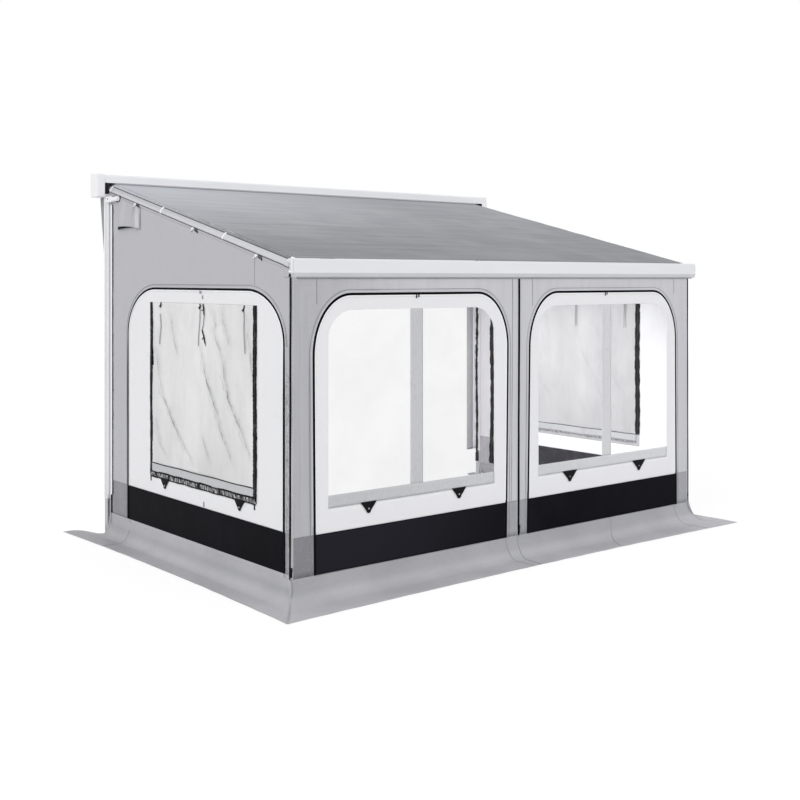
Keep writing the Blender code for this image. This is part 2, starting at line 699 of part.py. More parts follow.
def make_arms():
    plane = arm_plane()
    for side, sign in SIDES.items():
        shoulder, elbow, wrist = arm_points(sign)
        upper = arm_link(f"upper_arm_{side}", shoulder, elbow)
        cut_tongue(upper, shoulder)
        cut_fork(upper, elbow)
        fore = arm_link(f"forearm_{side}", elbow, wrist)
        cut_tongue(fore, elbow)
        cut_tongue(fore, wrist)
        turn(upper, plane)
        turn(fore, plane)
        make_shoulder(side, shoulder, plane)
        make_wrist(side, wrist, plane)


def make_shoulder(side, pivot, plane):
    """A fork that reaches out of the cassette's slot, on a foot inside it."""
    half = ARM_WIDTH / 2
    end = pivot + Vector((0, SHOULDER_REACH - half))
    block = plate(f"arm_shoulder_{side}", stadium(pivot, end, half), "Z", -ARM_HEIGHT / 2,
                  ARM_HEIGHT / 2, "bare_aluminium")
    cut_fork(block, pivot)
    turn(block, plane)
    floor = CASSETTE_BOTTOM + CASSETTE_WALL + SEAT_GAP
    start = CASSETTE_Y + CASSETTE_ROUND
    foot = box("foot", (pivot[0] - half, start, floor),
               (pivot[0] + half, start + SHOULDER_FOOT_DEPTH, floor + SHOULDER_FOOT),
               "bare_aluminium")
    fuse(block, foot)


def make_wrist(side, pivot, plane):
    """A fork that stands on the rail's rear face."""
    half = ARM_WIDTH / 2
    end = pivot - Vector((0, WRIST_START))
    block = plate(f"arm_wrist_{side}", stadium(pivot, end, half), "Z", -ARM_HEIGHT / 2,
                  ARM_HEIGHT / 2, "bare_aluminium")
    cut_fork(block, pivot)
    turn(block, plane)
    trim = box("trim", (pivot[0] - ARM_WIDTH, RAIL_REAR - RAIL_DEPTH - WRIST_START, RAIL_BOTTOM),
               (pivot[0] + ARM_WIDTH, RAIL_REAR + SEAT_GAP, RAIL_TOP + RAIL_HEIGHT),
               "bare_aluminium")
    cut(block, trim)


# Support legs

def make_legs():
    for side, sign in SIDES.items():
        x = sign * LEG_X
        make_leg_outer(side, x)
        make_leg_inner(side, x)
        make_leg_foot(side, x)


def make_leg_outer(side, x):
    """A tube below a flat-sided head that turns in the rail's channel."""
    width = LEG_CHANNEL / 2 - SEAT_GAP
    head = plate(f"leg_outer_{side}", circle((0, 0), LEG_HEAD_RADIUS, LEG_SIDES), "Y",
                 -width, width, "bare_aluminium", True)
    tube = turned("tube", [(LEG_RADIUS, -LEG_OUTER), (LEG_RADIUS, -LEG_HEAD_RADIUS / 2)],
                  "bare_aluminium", LEG_SIDES)
    fuse(head, tube)
    bore_top = -LEG_HEAD_RADIUS - LEG_WALL
    bore = turned("bore", [(LEG_RADIUS - LEG_WALL, -LEG_OUTER - OVERRUN),
                           (LEG_RADIUS - LEG_WALL, bore_top)], "bare_aluminium", LEG_SIDES)
    cut(head, bore)
    head.location = (x, LEG_Y, LEG_PIVOT_Z)


def make_leg_inner(side, x):
    """The sliding tube, with a flat tongue at its ankle."""
    radius = LEG_RADIUS - LEG_WALL - SLIDE_GAP
    foot_z = ANKLE_HEIGHT
    start = foot_z + ANKLE_RADIUS + SLIDE_GAP
    tube = turned(f"leg_inner_{side}", [(radius, start), (radius, LEG_INNER_TOP)],
                  "bare_aluminium", LEG_SIDES)
    tongue = plate("tongue", stadium((0, foot_z + 2 * ANKLE_RADIUS), (0, foot_z), ANKLE_RADIUS),
                   "Y", -ANKLE_TONGUE / 2, ANKLE_TONGUE / 2, "bare_aluminium")
    fuse(tube, tongue)
    hole = plate("hole", circle((0, foot_z), ANKLE_RADIUS / 2), "Y", -OVERRUN, OVERRUN,
                 "bare_aluminium")
    cut(tube, hole)
    tube.location = (x, LEG_Y, 0)


def make_leg_foot(side, x):
    """A plate with two ears and a pin, which tips about the ankle."""
    half_length, half_width = FOOT_LENGTH / 2, FOOT_WIDTH / 2
    foot = box(f"leg_foot_{side}", (-half_length, -half_width, 0),
               (half_length, half_width, FOOT_PLATE), "white_plastic")
    gap = ANKLE_TONGUE / 2 + SEAT_GAP
    for start, stop in ((-half_width, -gap), (gap, half_width)):
        ear = plate("ear", stadium((0, ANKLE_HEIGHT), (0, ANKLE_RADIUS), ANKLE_RADIUS),
                    "Y", start, stop, "white_plastic")
        below = box("below", (-half_length, -FOOT_WIDTH, -FOOT_LENGTH),
                    (half_length, FOOT_WIDTH, FOOT_PLATE / 2), "white_plastic")
        fuse(foot, cut(ear, below))
    pin = ANKLE_RADIUS / 2 - SEAT_GAP
    fuse(foot, plate("pin", circle((0, ANKLE_HEIGHT), pin), "Y", -half_width, half_width,
                     "white_plastic"))
    turn(foot, Matrix.Translation((0, 0, -ANKLE_HEIGHT)))
    foot.location = (x, LEG_Y, ANKLE_HEIGHT)


# Walls

def front_arch(extra):
    """The front panels' arch, grown by extra on its open sides."""
    return arch(FRONT_ARCH_INNER - extra, FRONT_ARCH_OUTER + extra, SEAM_HEIGHT,
                FRONT_ARCH_TOP + extra, (FRONT_ARCH_ROUND[0] + extra, FRONT_ARCH_ROUND[1] + extra))


def make_front_walls():
    """Each half of the front wall is a cloth frame round its arched panel."""
    top = RAIL_BOTTOM - SEAM_GAP
    inner = ZIP_WIDTH / 2 + SEAM_GAP
    outer = HALF_LENGTH - CORNER_ZIP - SEAM_GAP
    frame = [(inner, SEAM_HEIGHT)] + front_arch(SEAM_GAP)
    frame += [(outer, SEAM_HEIGHT), (outer, top), (inner, top)]
    for side, sign in SIDES.items():
        plate(f"front_wall_{side}", mirrored(frame, sign), "Y", FRONT_Y, FRONT_Y + CLOTH,
              "wall_cloth")


def side_top(y):
    """Top edge of a side wall, just under its rafter."""
    return rafter_line(y) - (RAFTER_RADIUS + RING_PROUD + SEAM_GAP) / COS_SLOPE


def side_panel_ends(side):
    """Where a side panel's arch starts and ends along Y."""
    shift = SIDE_SHIFTS[side]
    return FRONT_Y + SIDE_COLUMN_FRONT + shift, REAR_Y - SIDE_COLUMN_REAR + shift


def side_window_ends(side):
    """Where a side window starts and ends along Y."""
    start, stop = side_panel_ends(side)
    return start + SIDE_BORDER_FRONT, stop - SIDE_BORDER_REAR


def side_arch(side, extra):
    """A side panel's arch, in (Y, Z), grown by extra on its open sides."""
    start, stop = side_panel_ends(side)
    return arch(start - extra, stop + extra, SEAM_HEIGHT, SIDE_ARCH_TOP + extra,
                (SIDE_ARCH_ROUND[0] + extra, SIDE_ARCH_ROUND[1] + extra))


def make_side_walls():
    front = FRONT_Y + CORNER_ZIP + SEAM_GAP
    step = RAIL_REAR + SEAM_GAP
    top = [(REAR_Y, SEAM_HEIGHT), (REAR_Y, side_top(REAR_Y)), (step, side_top(step))]
    top += [(step, RAIL_BOTTOM - SEAM_GAP), (front, RAIL_BOTTOM - SEAM_GAP)]
    for side, sign in SIDES.items():
        frame = [(front, SEAM_HEIGHT)] + side_arch(side, SEAM_GAP) + top
        start, stop = sorted((sign * HALF_LENGTH, sign * (HALF_LENGTH - CLOTH)))
        plate(f"side_wall_{side}", frame, "X", start, stop, "wall_cloth")


def make_zips():
    """The zips that close the room's two front corners and its middle."""
    top = RAIL_BOTTOM - SEAM_GAP
    half = ZIP_WIDTH / 2
    box("centre_zip", (-half, FRONT_Y, SEAM_HEIGHT), (half, FRONT_Y + CLOTH, top), "black_tape")
    for side, sign in SIDES.items():
        outer, inner = sign * HALF_LENGTH, sign * (HALF_LENGTH - CORNER_ZIP)
        low, high = sorted((outer, inner))
        box(f"corner_zip_{side}", (low, FRONT_Y, SEAM_HEIGHT), (high, FRONT_Y + CORNER_ZIP, top),
            "black_tape")


def slider_outline():
    """A slider with its pull hanging below it: (X, Z) about its axis."""
    body, pull = SLIDER_WIDTH / 2, PULL_WIDTH / 2
    neck = PULL_LENGTH
    top = PULL_LENGTH + SLIDER_HEIGHT
    outline = arc((0, pull), (pull, pull), 180, 360, STADIUM_STEPS)
    outline += [(pull, neck), (body, neck + pull)]
    outline += arc((0, top - body), (body, body), 0, 180, STADIUM_STEPS)
    return outline + [(-body, neck + pull), (-pull, neck)]


def make_sliders():
    rear = FRONT_Y - SEAT_GAP
    bottom = SEAM_HEIGHT + SLIDER_LIFT
    places = {"centre_slider": 0, "corner_slider_left": CORNER_ZIP / 2 - HALF_LENGTH,
              "corner_slider_right": HALF_LENGTH - CORNER_ZIP / 2}
    for name, x in places.items():
        slider = plate(name, slider_outline(), "Y", -SLIDER_DEPTH, 0, "black_plastic")
        slider.location = (x, rear, bottom)


# Zip-out panels with their windows

def strip_with_tabs(low, high, bottom, top, tabs, width, drop, stem):
    """A strip along a window's foot with pointed tabs below it, and a stem that rises from it.

    The outline runs along the foot from low to high, then up and back over the stem.
    """
    outline = [(low, bottom)]
    for middle in sorted(tabs):
        outline += [(middle - width / 2, bottom), (middle - TAB_TIP / 2, bottom - drop),
                    (middle + TAB_TIP / 2, bottom - drop), (middle + width / 2, bottom)]
    outline += [(high, bottom), (high, top)]
    if stem:
        stem_low, stem_high, stem_top = stem
        outline += [(stem_high, top), (stem_high, stem_top), (stem_low, stem_top),
                    (stem_low, top)]
    return outline + [(low, top)]


def make_front_panels():
    film_y = FRONT_Y + (CLOTH - FILM) / 2
    foot = SEAM_HEIGHT + SEAM_GAP
    for side, sign in SIDES.items():
        outer = [(u, max(v, foot)) for u, v in front_arch(0)]
        near_border, far_border = FRONT_BORDERS[side]
        inner, far = FRONT_ARCH_INNER + near_border, FRONT_ARCH_OUTER - far_border
        window = arch(inner, far, FRONT_WINDOW_BOTTOM, FRONT_WINDOW_TOP, FRONT_WINDOW_ROUND)
        panel = pierced_plate(f"front_panel_{side}", mirrored(outer, sign),
                              mirrored(window, sign), "Y", FRONT_Y, FRONT_Y + CLOTH,
                              "panel_cloth")
        gap = SEAM_GAP
        rounds = (FRONT_WINDOW_ROUND[0] - gap, FRONT_WINDOW_ROUND[1] - gap)
        film = plate(f"front_window_{side}",
                     mirrored(arch(inner + gap, far - gap, FRONT_WINDOW_BOTTOM + gap,
                                   FRONT_WINDOW_TOP - gap, rounds), sign),
                     "Y", film_y, film_y + FILM, "window_film")
        middle = inner + (far - inner) * MULLION_SHARES[side]
        stem = (middle - MULLION_WIDTH / 2, middle + MULLION_WIDTH / 2, FRONT_WINDOW_TOP)
        tabs = [inner + (far - inner) * share for share in FRONT_TAB_SHARES[side]]
        strip = strip_with_tabs(inner, far, FRONT_WINDOW_BOTTOM, FRONT_WINDOW_BOTTOM + HEM_HEIGHT,
                                tabs, TAB_WIDTH, TAB_DROP, stem)
        tape = plate(f"front_window_tape_{side}", mirrored(strip, sign), "Y",
                     FRONT_Y - SEAT_GAP - TAPE, FRONT_Y - SEAT_GAP, "grey_strip")
        hinge = (sign * (FRONT_ARCH_INNER + FRONT_ARCH_OUTER) / 2, FRONT_Y, foot)
        for piece in (panel, film, tape):
            set_origin(piece, hinge)


def window_zip_outline(low, high):
    """The black zip round three sides of a side window, with the tabs below it."""
    width = SIDE_ZIP_WIDTH
    bottom, top = SIDE_WINDOW_BOTTOM, SIDE_WINDOW_TOP - SEAM_GAP
    tabs = [low + (high - low) * share for share in SIDE_TAB_SHARES]
    foot = strip_with_tabs(low, high, bottom, bottom + SIDE_HEM, tabs, SIDE_TAB_WIDTH,
                           SIDE_TAB_DROP, None)
    inside = [(high, top), (high - width, top), (high - width, bottom + SIDE_HEM),
              (low + width, bottom + SIDE_HEM), (low + width, top), (low, top)]
    return foot[:-2] + inside


def make_side_panels():
    foot = SEAM_HEIGHT + SEAM_GAP
    gap = SEAM_GAP
    for side, sign in SIDES.items():
        face = sign * HALF_LENGTH
        low, high = side_window_ends(side)
        outer = [(u, max(v, foot)) for u, v in side_arch(side, 0)]
        window = arch(low, high, SIDE_WINDOW_BOTTOM, SIDE_WINDOW_TOP, SQUARE_ROUND)
        start, stop = sorted((face, face - sign * CLOTH))
        panel = pierced_plate(f"side_panel_{side}", outer, window, "X", start, stop,
                              "panel_cloth")
        set_origin(panel, (face, sum(side_panel_ends(side)) / 2, foot))
        inset = sign * (CLOTH - FILM) / 2
        start, stop = sorted((face - inset, face - inset - sign * FILM))
        rounds = (SQUARE_ROUND[0] - gap, SQUARE_ROUND[1] - gap)
        film = plate(f"side_window_{side}",
                     arch(low + gap, high - gap, SIDE_WINDOW_BOTTOM + gap, SIDE_WINDOW_TOP - gap,
                          rounds), "X", start, stop, "window_film")
        start, stop = sorted((face + sign * SEAT_GAP, face + sign * (SEAT_GAP + TAPE)))
        tape = plate(f"side_window_zip_{side}", window_zip_outline(low, high), "X", start, stop,
                     "black_tape")
        for piece in (film, tape):
            set_origin(piece, (face, (low + high) / 2, SIDE_WINDOW_TOP))


# Skirt

def skirt_fall(share):
    """How far out and how high the skirt is at a share of its way from seam to edge.

    It drops steeply from the seam, curves outwards and runs flat for its last stretch.
    """
    falling = np.clip(1 - share / (1 - SKIRT_FLAT_SHARE), 0, 1)
    return share ** SKIRT_BEND_SHARE, (SEAM_HEIGHT - SEAM_GAP) * falling ** 2


def skirt_sheet(name, top_points, edge_points, sweep):
    """A skirt between its seam and its outer edge, each an array of places on the ground.

    Sweep, one value a column, holds back a column's run along Y, so that it leaves the seam
    square and curves rearwards further out.
    """
    shares = np.linspace(0, 1, SKIRT_ROWS)[:, None]
    out, height = skirt_fall(shares)
    outwards = np.stack([out * np.ones_like(sweep), out ** (1 + sweep)], axis=2)
    ground = top_points[None] + (edge_points - top_points)[None] * outwards
    heights = height * np.ones((1, len(top_points)))
    under = np.concatenate([ground, heights[..., None]], axis=2)
    down = np.gradient(under, axis=0)
    along = np.gradient(under, axis=1)
    normal = np.cross(down, along)
    normal /= np.linalg.norm(normal, axis=2, keepdims=True)
    normal *= np.sign(normal[..., 2:].mean())
    over = under + normal * CLOTH
    over[0, :, 2] = under[0, :, 2]
    sheet(name, under, over, "skirt_cloth")


def make_skirts():
    """Three skirts that meet at a mitre on the front corners."""
    shares = np.linspace(0, 1, SKIRT_COLUMNS)
    bow = 4 * shares * (1 - shares)
    inner = HALF_LENGTH - CLOTH
    seam_y = FRONT_Y + CLOTH
    corner_x = HALF_LENGTH + SKIRT_SIDE_CORNER
    top_x = -inner + (2 * inner) * shares
    edge_x = (corner_x - SEAM_GAP) * (2 * shares - 1)
    reach = SKIRT_FRONT_CORNER + (SKIRT_FRONT_MIDDLE - SKIRT_FRONT_CORNER) * bow
    top = np.stack([top_x, np.full_like(shares, seam_y)], axis=1)
    edge = np.stack([edge_x, FRONT_Y - reach], axis=1)
    skirt_sheet("skirt_front", top, edge, np.zeros(SKIRT_COLUMNS))
    for side, sign in SIDES.items():
        start = seam_y + SEAM_GAP
        top_y = start + (REAR_Y - start) * shares
        edge_start = FRONT_Y - SKIRT_FRONT_CORNER + SEAM_GAP
        edge_y = edge_start + (REAR_Y + SKIRT_REAR_TIP - edge_start) * shares
        reach = SKIRT_SIDE_CORNER + (SKIRT_SIDE_MIDDLE - SKIRT_SIDE_CORNER) * bow
        top = np.stack([np.full_like(shares, sign * inner), top_y], axis=1)
        edge = np.stack([sign * (HALF_LENGTH + reach), edge_y], axis=1)
        skirt_sheet(f"skirt_{side}", top, edge, SKIRT_SWEEP_SHARE * shares)


# Rear poles

def pole_outline():
    """The pole's ribbed section, (X, Y), for the left side."""
    low_x = -HALF_LENGTH - POLE_PROUD
    high_x = low_x + POLE_ACROSS
    low_y, high_y = REAR_Y + POLE_START, POLE_REAR
    groove = POLE_GROOVE
    outline = [(low_x, high_y)]
    for rib_share in (2 / 3, 1 / 3):
        middle = low_y + POLE_DEPTH * rib_share
        outline += [(low_x, middle + 2 * groove), (low_x + groove, middle + groove),
                    (low_x + groove, middle - groove), (low_x, middle - 2 * groove)]
    outline += [(low_x, low_y), (high_x, low_y), (high_x, high_y)]
    return outline


def pole_inside(outline):
    """The bore's outline, point for point with the outer one."""
    low_x = -HALF_LENGTH - POLE_PROUD + POLE_WALL
    high_x = low_x + POLE_ACROSS - 2 * POLE_WALL
    low_y, high_y = REAR_Y + POLE_START + POLE_WALL, POLE_REAR - POLE_WALL
    return [(min(max(x, low_x), high_x), min(max(y, low_y), high_y)) for x, y in outline]


def make_poles():
    outline = pole_outline()
    inside = pole_inside(outline)
    top = BRACKET_BOTTOM - SEAT_GAP
    for side, sign in SIDES.items():
        pierced_plate(f"rear_pole_{side}", mirrored(outline, -sign), mirrored(inside, -sign),
                      "Z", POLE_BOTTOM, top, "white_aluminium")
        low_x = HALF_LENGTH + POLE_PROUD - POLE_ACROSS + POLE_WALL + SLIDE_GAP
        high_x = HALF_LENGTH + POLE_PROUD - POLE_WALL - SLIDE_GAP
        start, stop = sorted((sign * low_x, sign * high_x))
        low_y = REAR_Y + POLE_START + POLE_WALL + SLIDE_GAP
        high_y = POLE_REAR - POLE_WALL - SLIDE_GAP
        foot = box(f"pole_foot_{side}", (start, low_y, 0),
                   (stop, high_y, POLE_BOTTOM + POLE_FOOT_OVERLAP), "bare_aluminium")
        set_origin(foot, ((start + stop) / 2, (low_y + high_y) / 2, 0))


def make_brackets():
    """White brackets that hook the side walls and the poles to the cassette's underside."""
    front = REAR_Y - BRACKET_REACH
    radius = BRACKET_ROUND
    low, high = BRACKET_BOTTOM, BRACKET_TOP
    outline = arc((front + radius, high - radius), (radius, radius), 90, 180, SMALL_STEPS)
    outline += arc((front + radius, low + radius), (radius, radius), 180, 270, SMALL_STEPS)
    outline += [(POLE_REAR, low), (POLE_REAR, high)]
    for side, sign in SIDES.items():
        near, far = HALF_LENGTH + SEAT_GAP, HALF_LENGTH + POLE_PROUD + POLE_GROOVE
        start, stop = sorted((sign * near, sign * far))
        bracket = plate(f"pole_bracket_{side}", outline, "X", start, stop, "white_plastic")
        soften(bracket, POLE_GROOVE)


def make_seals():
    """Foam wedges that fill the gap between the poles and the vehicle."""
    front = POLE_REAR + SEAT_GAP
    top = CASSETTE_BOTTOM - SEAT_GAP
    outline = [(front, top - SEAL_LENGTH), (front + SEAL_TIP, top - SEAL_LENGTH),
               (CASSETTE_REAR, top), (front, top)]
    for side, sign in SIDES.items():
        near, far = HALF_LENGTH + POLE_PROUD - POLE_ACROSS, HALF_LENGTH + POLE_PROUD
        start, stop = sorted((sign * near, sign * far))
        plate(f"pole_seal_{side}", outline, "X", start, stop, "grey_foam")


# Loose flap

def make_wall_flap():
    """A loose flap sewn along its top, with a belly and a curved lower edge."""
    share = np.linspace(0, 1, FLAP_STEPS + 1)
    down, along = np.meshgrid(share, share, indexing="ij")
    y = REAR_Y - FLAP_INSET - FLAP_WIDTH * (1 - along)
    bottom = CASSETTE_BOTTOM - FLAP_FALL + FLAP_SAG * np.sin(math.pi * along)
    top = side_top(y) - SEAM_GAP
    z = top + (bottom - top) * down
    belly = FLAP_BULGE * np.sin(math.pi * along) * np.sin(math.pi / 2 * down) ** 2
    inner = -HALF_LENGTH - SEAT_GAP - belly
    under = np.stack([inner, y, z], axis=2)
    over = np.stack([inner - FLAP_CLOTH, y, z], axis=2)
    sheet("wall_flap", under, over, "wall_cloth")


def build_awning():
    make_rail()
    make_cassette()
    make_cassette_caps()
    make_roller()
    make_winch()
    make_roof()
    make_rafters()
    make_arms()
    make_legs()
    make_front_walls()
    make_side_walls()
    make_zips()
    make_sliders()
    make_front_panels()
    make_side_panels()
    make_skirts()
    make_poles()
    make_brackets()
    make_seals()
    make_wall_flap()


build_awning()
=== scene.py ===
"""Dresses the caravan awning's solids in cloth, tape, film and paint, and sets camera and light.

Everything is in metres in the frame of the solids: X runs along the vehicle, which stands behind
+Y, Z is up and the ground is Z = 0. Cloth stands where its solid stands.
"""
import math

import bmesh
import bpy
import numpy as np
from bpy.props import FloatProperty, FloatVectorProperty, PointerProperty
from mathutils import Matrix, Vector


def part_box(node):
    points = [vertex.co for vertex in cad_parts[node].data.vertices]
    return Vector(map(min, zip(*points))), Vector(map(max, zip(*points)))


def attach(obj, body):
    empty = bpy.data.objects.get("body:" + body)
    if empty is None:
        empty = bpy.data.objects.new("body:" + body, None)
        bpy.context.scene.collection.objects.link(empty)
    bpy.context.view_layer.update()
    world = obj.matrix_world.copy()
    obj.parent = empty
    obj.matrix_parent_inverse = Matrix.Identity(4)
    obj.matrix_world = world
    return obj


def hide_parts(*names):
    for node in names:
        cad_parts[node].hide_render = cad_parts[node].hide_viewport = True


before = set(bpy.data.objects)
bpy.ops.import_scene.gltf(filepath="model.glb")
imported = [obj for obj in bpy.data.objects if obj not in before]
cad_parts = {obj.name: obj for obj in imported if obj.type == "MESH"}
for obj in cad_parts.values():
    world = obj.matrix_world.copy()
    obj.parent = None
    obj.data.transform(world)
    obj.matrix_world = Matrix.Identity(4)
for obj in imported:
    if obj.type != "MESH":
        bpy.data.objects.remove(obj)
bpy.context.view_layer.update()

bl_info = {
    "name": "Caravan awning",
    "version": (1, 0, 0),
    "blender": (4, 5, 0),
    "location": "3D View > Sidebar > Awning",
    "description": "Cloth, film, tape and paint for a caravan awning with a zip-in room",
    "category": "Add Mesh",
}

SIDES = {"left": -1, "right": 1}


# Places read from the solids

def low(node):
    """A solid's lowest corner."""
    return np.array(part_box(node)[0])


def high(node):
    """A solid's highest corner."""
    return np.array(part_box(node)[1])


FRONT_Y, SEAM_Z = low("front_wall_left")[1:]
CLOTH_DEPTH = high("front_wall_left")[1] - FRONT_Y
REAR_Y = high("side_wall_left")[1]
HALF_LENGTH = high("side_wall_right")[0]
RAIL_UNDER, RAIL_REAR = low("lead_rail")[2], high("lead_rail")[1]
HOUSING_Y = low("cassette_housing")[1]
ROOF_LOW, ROOF_HIGH = low("roof_cloth"), high("roof_cloth")
SLOPE = math.atan2(ROOF_HIGH[2] - ROOF_LOW[2] - CLOTH_DEPTH, ROOF_HIGH[1] - ROOF_LOW[1])
RAFTER_RADIUS = 0.025
RAFTER_DROP = 0.052                # from the middle of the roof cloth to a rafter's centre line
BAND_TOP, SIDE_BAND_TOP = 0.415, 0.447


def roof_height(y):
    """Middle of the roof cloth: the straight line from the rail to the roll."""
    drop = CLOTH_DEPTH / math.cos(SLOPE)
    share = (y - ROOF_LOW[1]) / (ROOF_HIGH[1] - ROOF_LOW[1])
    return ROOF_LOW[2] + drop / 2 + share * (ROOF_HIGH[2] - ROOF_LOW[2] - drop)


def rafter_height(y):
    """Centre line of a rafter, which hangs below the middle of the roof."""
    return roof_height(y) - RAFTER_DROP


# What a user may change

def colour(name, description, code):
    """A colour from its screen code, each channel taken through the display's curve."""
    channels = np.array([int(code[i:i + 2], 16) for i in (1, 3, 5)]) / 255
    light = np.where(channels <= 0.04045, channels / 12.92, ((channels + 0.055) / 1.055) ** 2.4)
    return FloatVectorProperty(name=name, description=description, subtype="COLOR", size=3,
                               min=0, max=1, default=tuple(light.tolist()))


def length(name, description, size):
    """A length in metres."""
    return FloatProperty(name=name, description=description, unit="LENGTH",
                         subtype="DISTANCE", min=0, default=size)


class AwningColours(bpy.types.PropertyGroup):
    """Colours of the awning's finishes under plain light."""
    roof: colour("Roof", "Coated roof cloth", "#808287")
    wall: colour("Wall", "Grey wall cloth", "#C3C3C8")
    foot: colour("Wall foot", "Darker wall cloth beside the black bands", "#8E8E94")
    panel: colour("Panel", "White panel cloth", "#E6E6E9")
    band: colour("Band", "Black splash band at the foot of each panel", "#0B0B10")
    skirt: colour("Skirt", "Coated skirt cloth", "#AEAEB2")
    strip: colour("Strip", "Pale grey strips on the windows", "#CFD0D3")
    tape: colour("Tape", "Zip tapes, piping and tabs", "#08080A")
    paint: colour("Paint", "Painted rail, cassette, arms and poles", "#ECEDF0")
    plastic: colour("Plastic", "Moulded caps, rings and brackets", "#EDEDF0")
    metal: colour("Metal", "Bare aluminium of legs and pivots", "#B9BBBE")
    film: colour("Film", "Clear window film", "#A6A5A7")
    milk: colour("Side film", "Milky film of the side windows", "#E3E3E4")
    foam: colour("Foam", "Sealing foam behind the rear poles", "#A2A4A6")


class AwningSizes(bpy.types.PropertyGroup):
    """Sizes of the cloth and trim that the solids leave open."""
    cloth: length("Cloth", "Thickness of wall, roof and skirt cloth", 0.0016)
    film: length("Film", "Thickness of the window film", 0.0008)
    tape: length("Tape", "Thickness of sewn strips and tapes", 0.0014)
    zip_width: length("Zip", "Width of the zips round the arches", 0.016)
    ripple: length("Ripple", "Depth of the ripples in the walls", 0.0024)
    roof_sag: length("Roof sag", "How far the roof hangs through in its middle", 0.006)
    thread: length("Thread", "Distance between threads of the weave", 0.0022)


class AwningCamera(bpy.types.PropertyGroup):
    """The camera that takes the picture."""
    place: FloatVectorProperty(name="Place", description="Where the camera stands",
                               subtype="TRANSLATION", unit="LENGTH", size=3,
                               default=(-6.1269, -7.3898, 2.060))
    turn: FloatProperty(name="Turn", description="Turn of the view from +Y towards +X",
                        subtype="ANGLE", unit="ROTATION", default=math.radians(39.334))
    lens: FloatProperty(name="Lens", description="Focal length in millimetres on a 36 mm sensor",
                        min=10, default=52.07)
    shift: FloatProperty(name="Shift", description="Upright shift as a share of the picture",
                         default=-0.1514)


def sizes():
    return bpy.context.scene.awning_sizes


# Shader nodes

def maths(operation, swapped=False):
    """A method of Wire that adds a Math node. Swapped puts the other value first."""
    def method(self, *others):
        values = (*others, self) if swapped else (self, *others)
        return self.finish.add("Math", {"operation": operation}, dict(enumerate(values)))
    return method


class Wire:
    """One output socket. Sums, products and comparisons of wires add Math nodes."""
    __add__, __radd__ = maths("ADD"), maths("ADD", True)
    __sub__, __rsub__ = maths("SUBTRACT"), maths("SUBTRACT", True)
    __mul__, __rmul__ = maths("MULTIPLY"), maths("MULTIPLY", True)
    __lt__, __abs__ = maths("LESS_THAN"), maths("ABSOLUTE")

    def __init__(self, finish, socket):
        self.finish, self.socket = finish, socket


def shade(value):
    """A colour as four numbers; a wire stays as it is."""
    return value if isinstance(value, Wire) else (*tuple(value)[:3], 1.0)


def darker(value, share):
    """A colour with that share of its light."""
    return tuple(channel * share for channel in tuple(value)[:3])


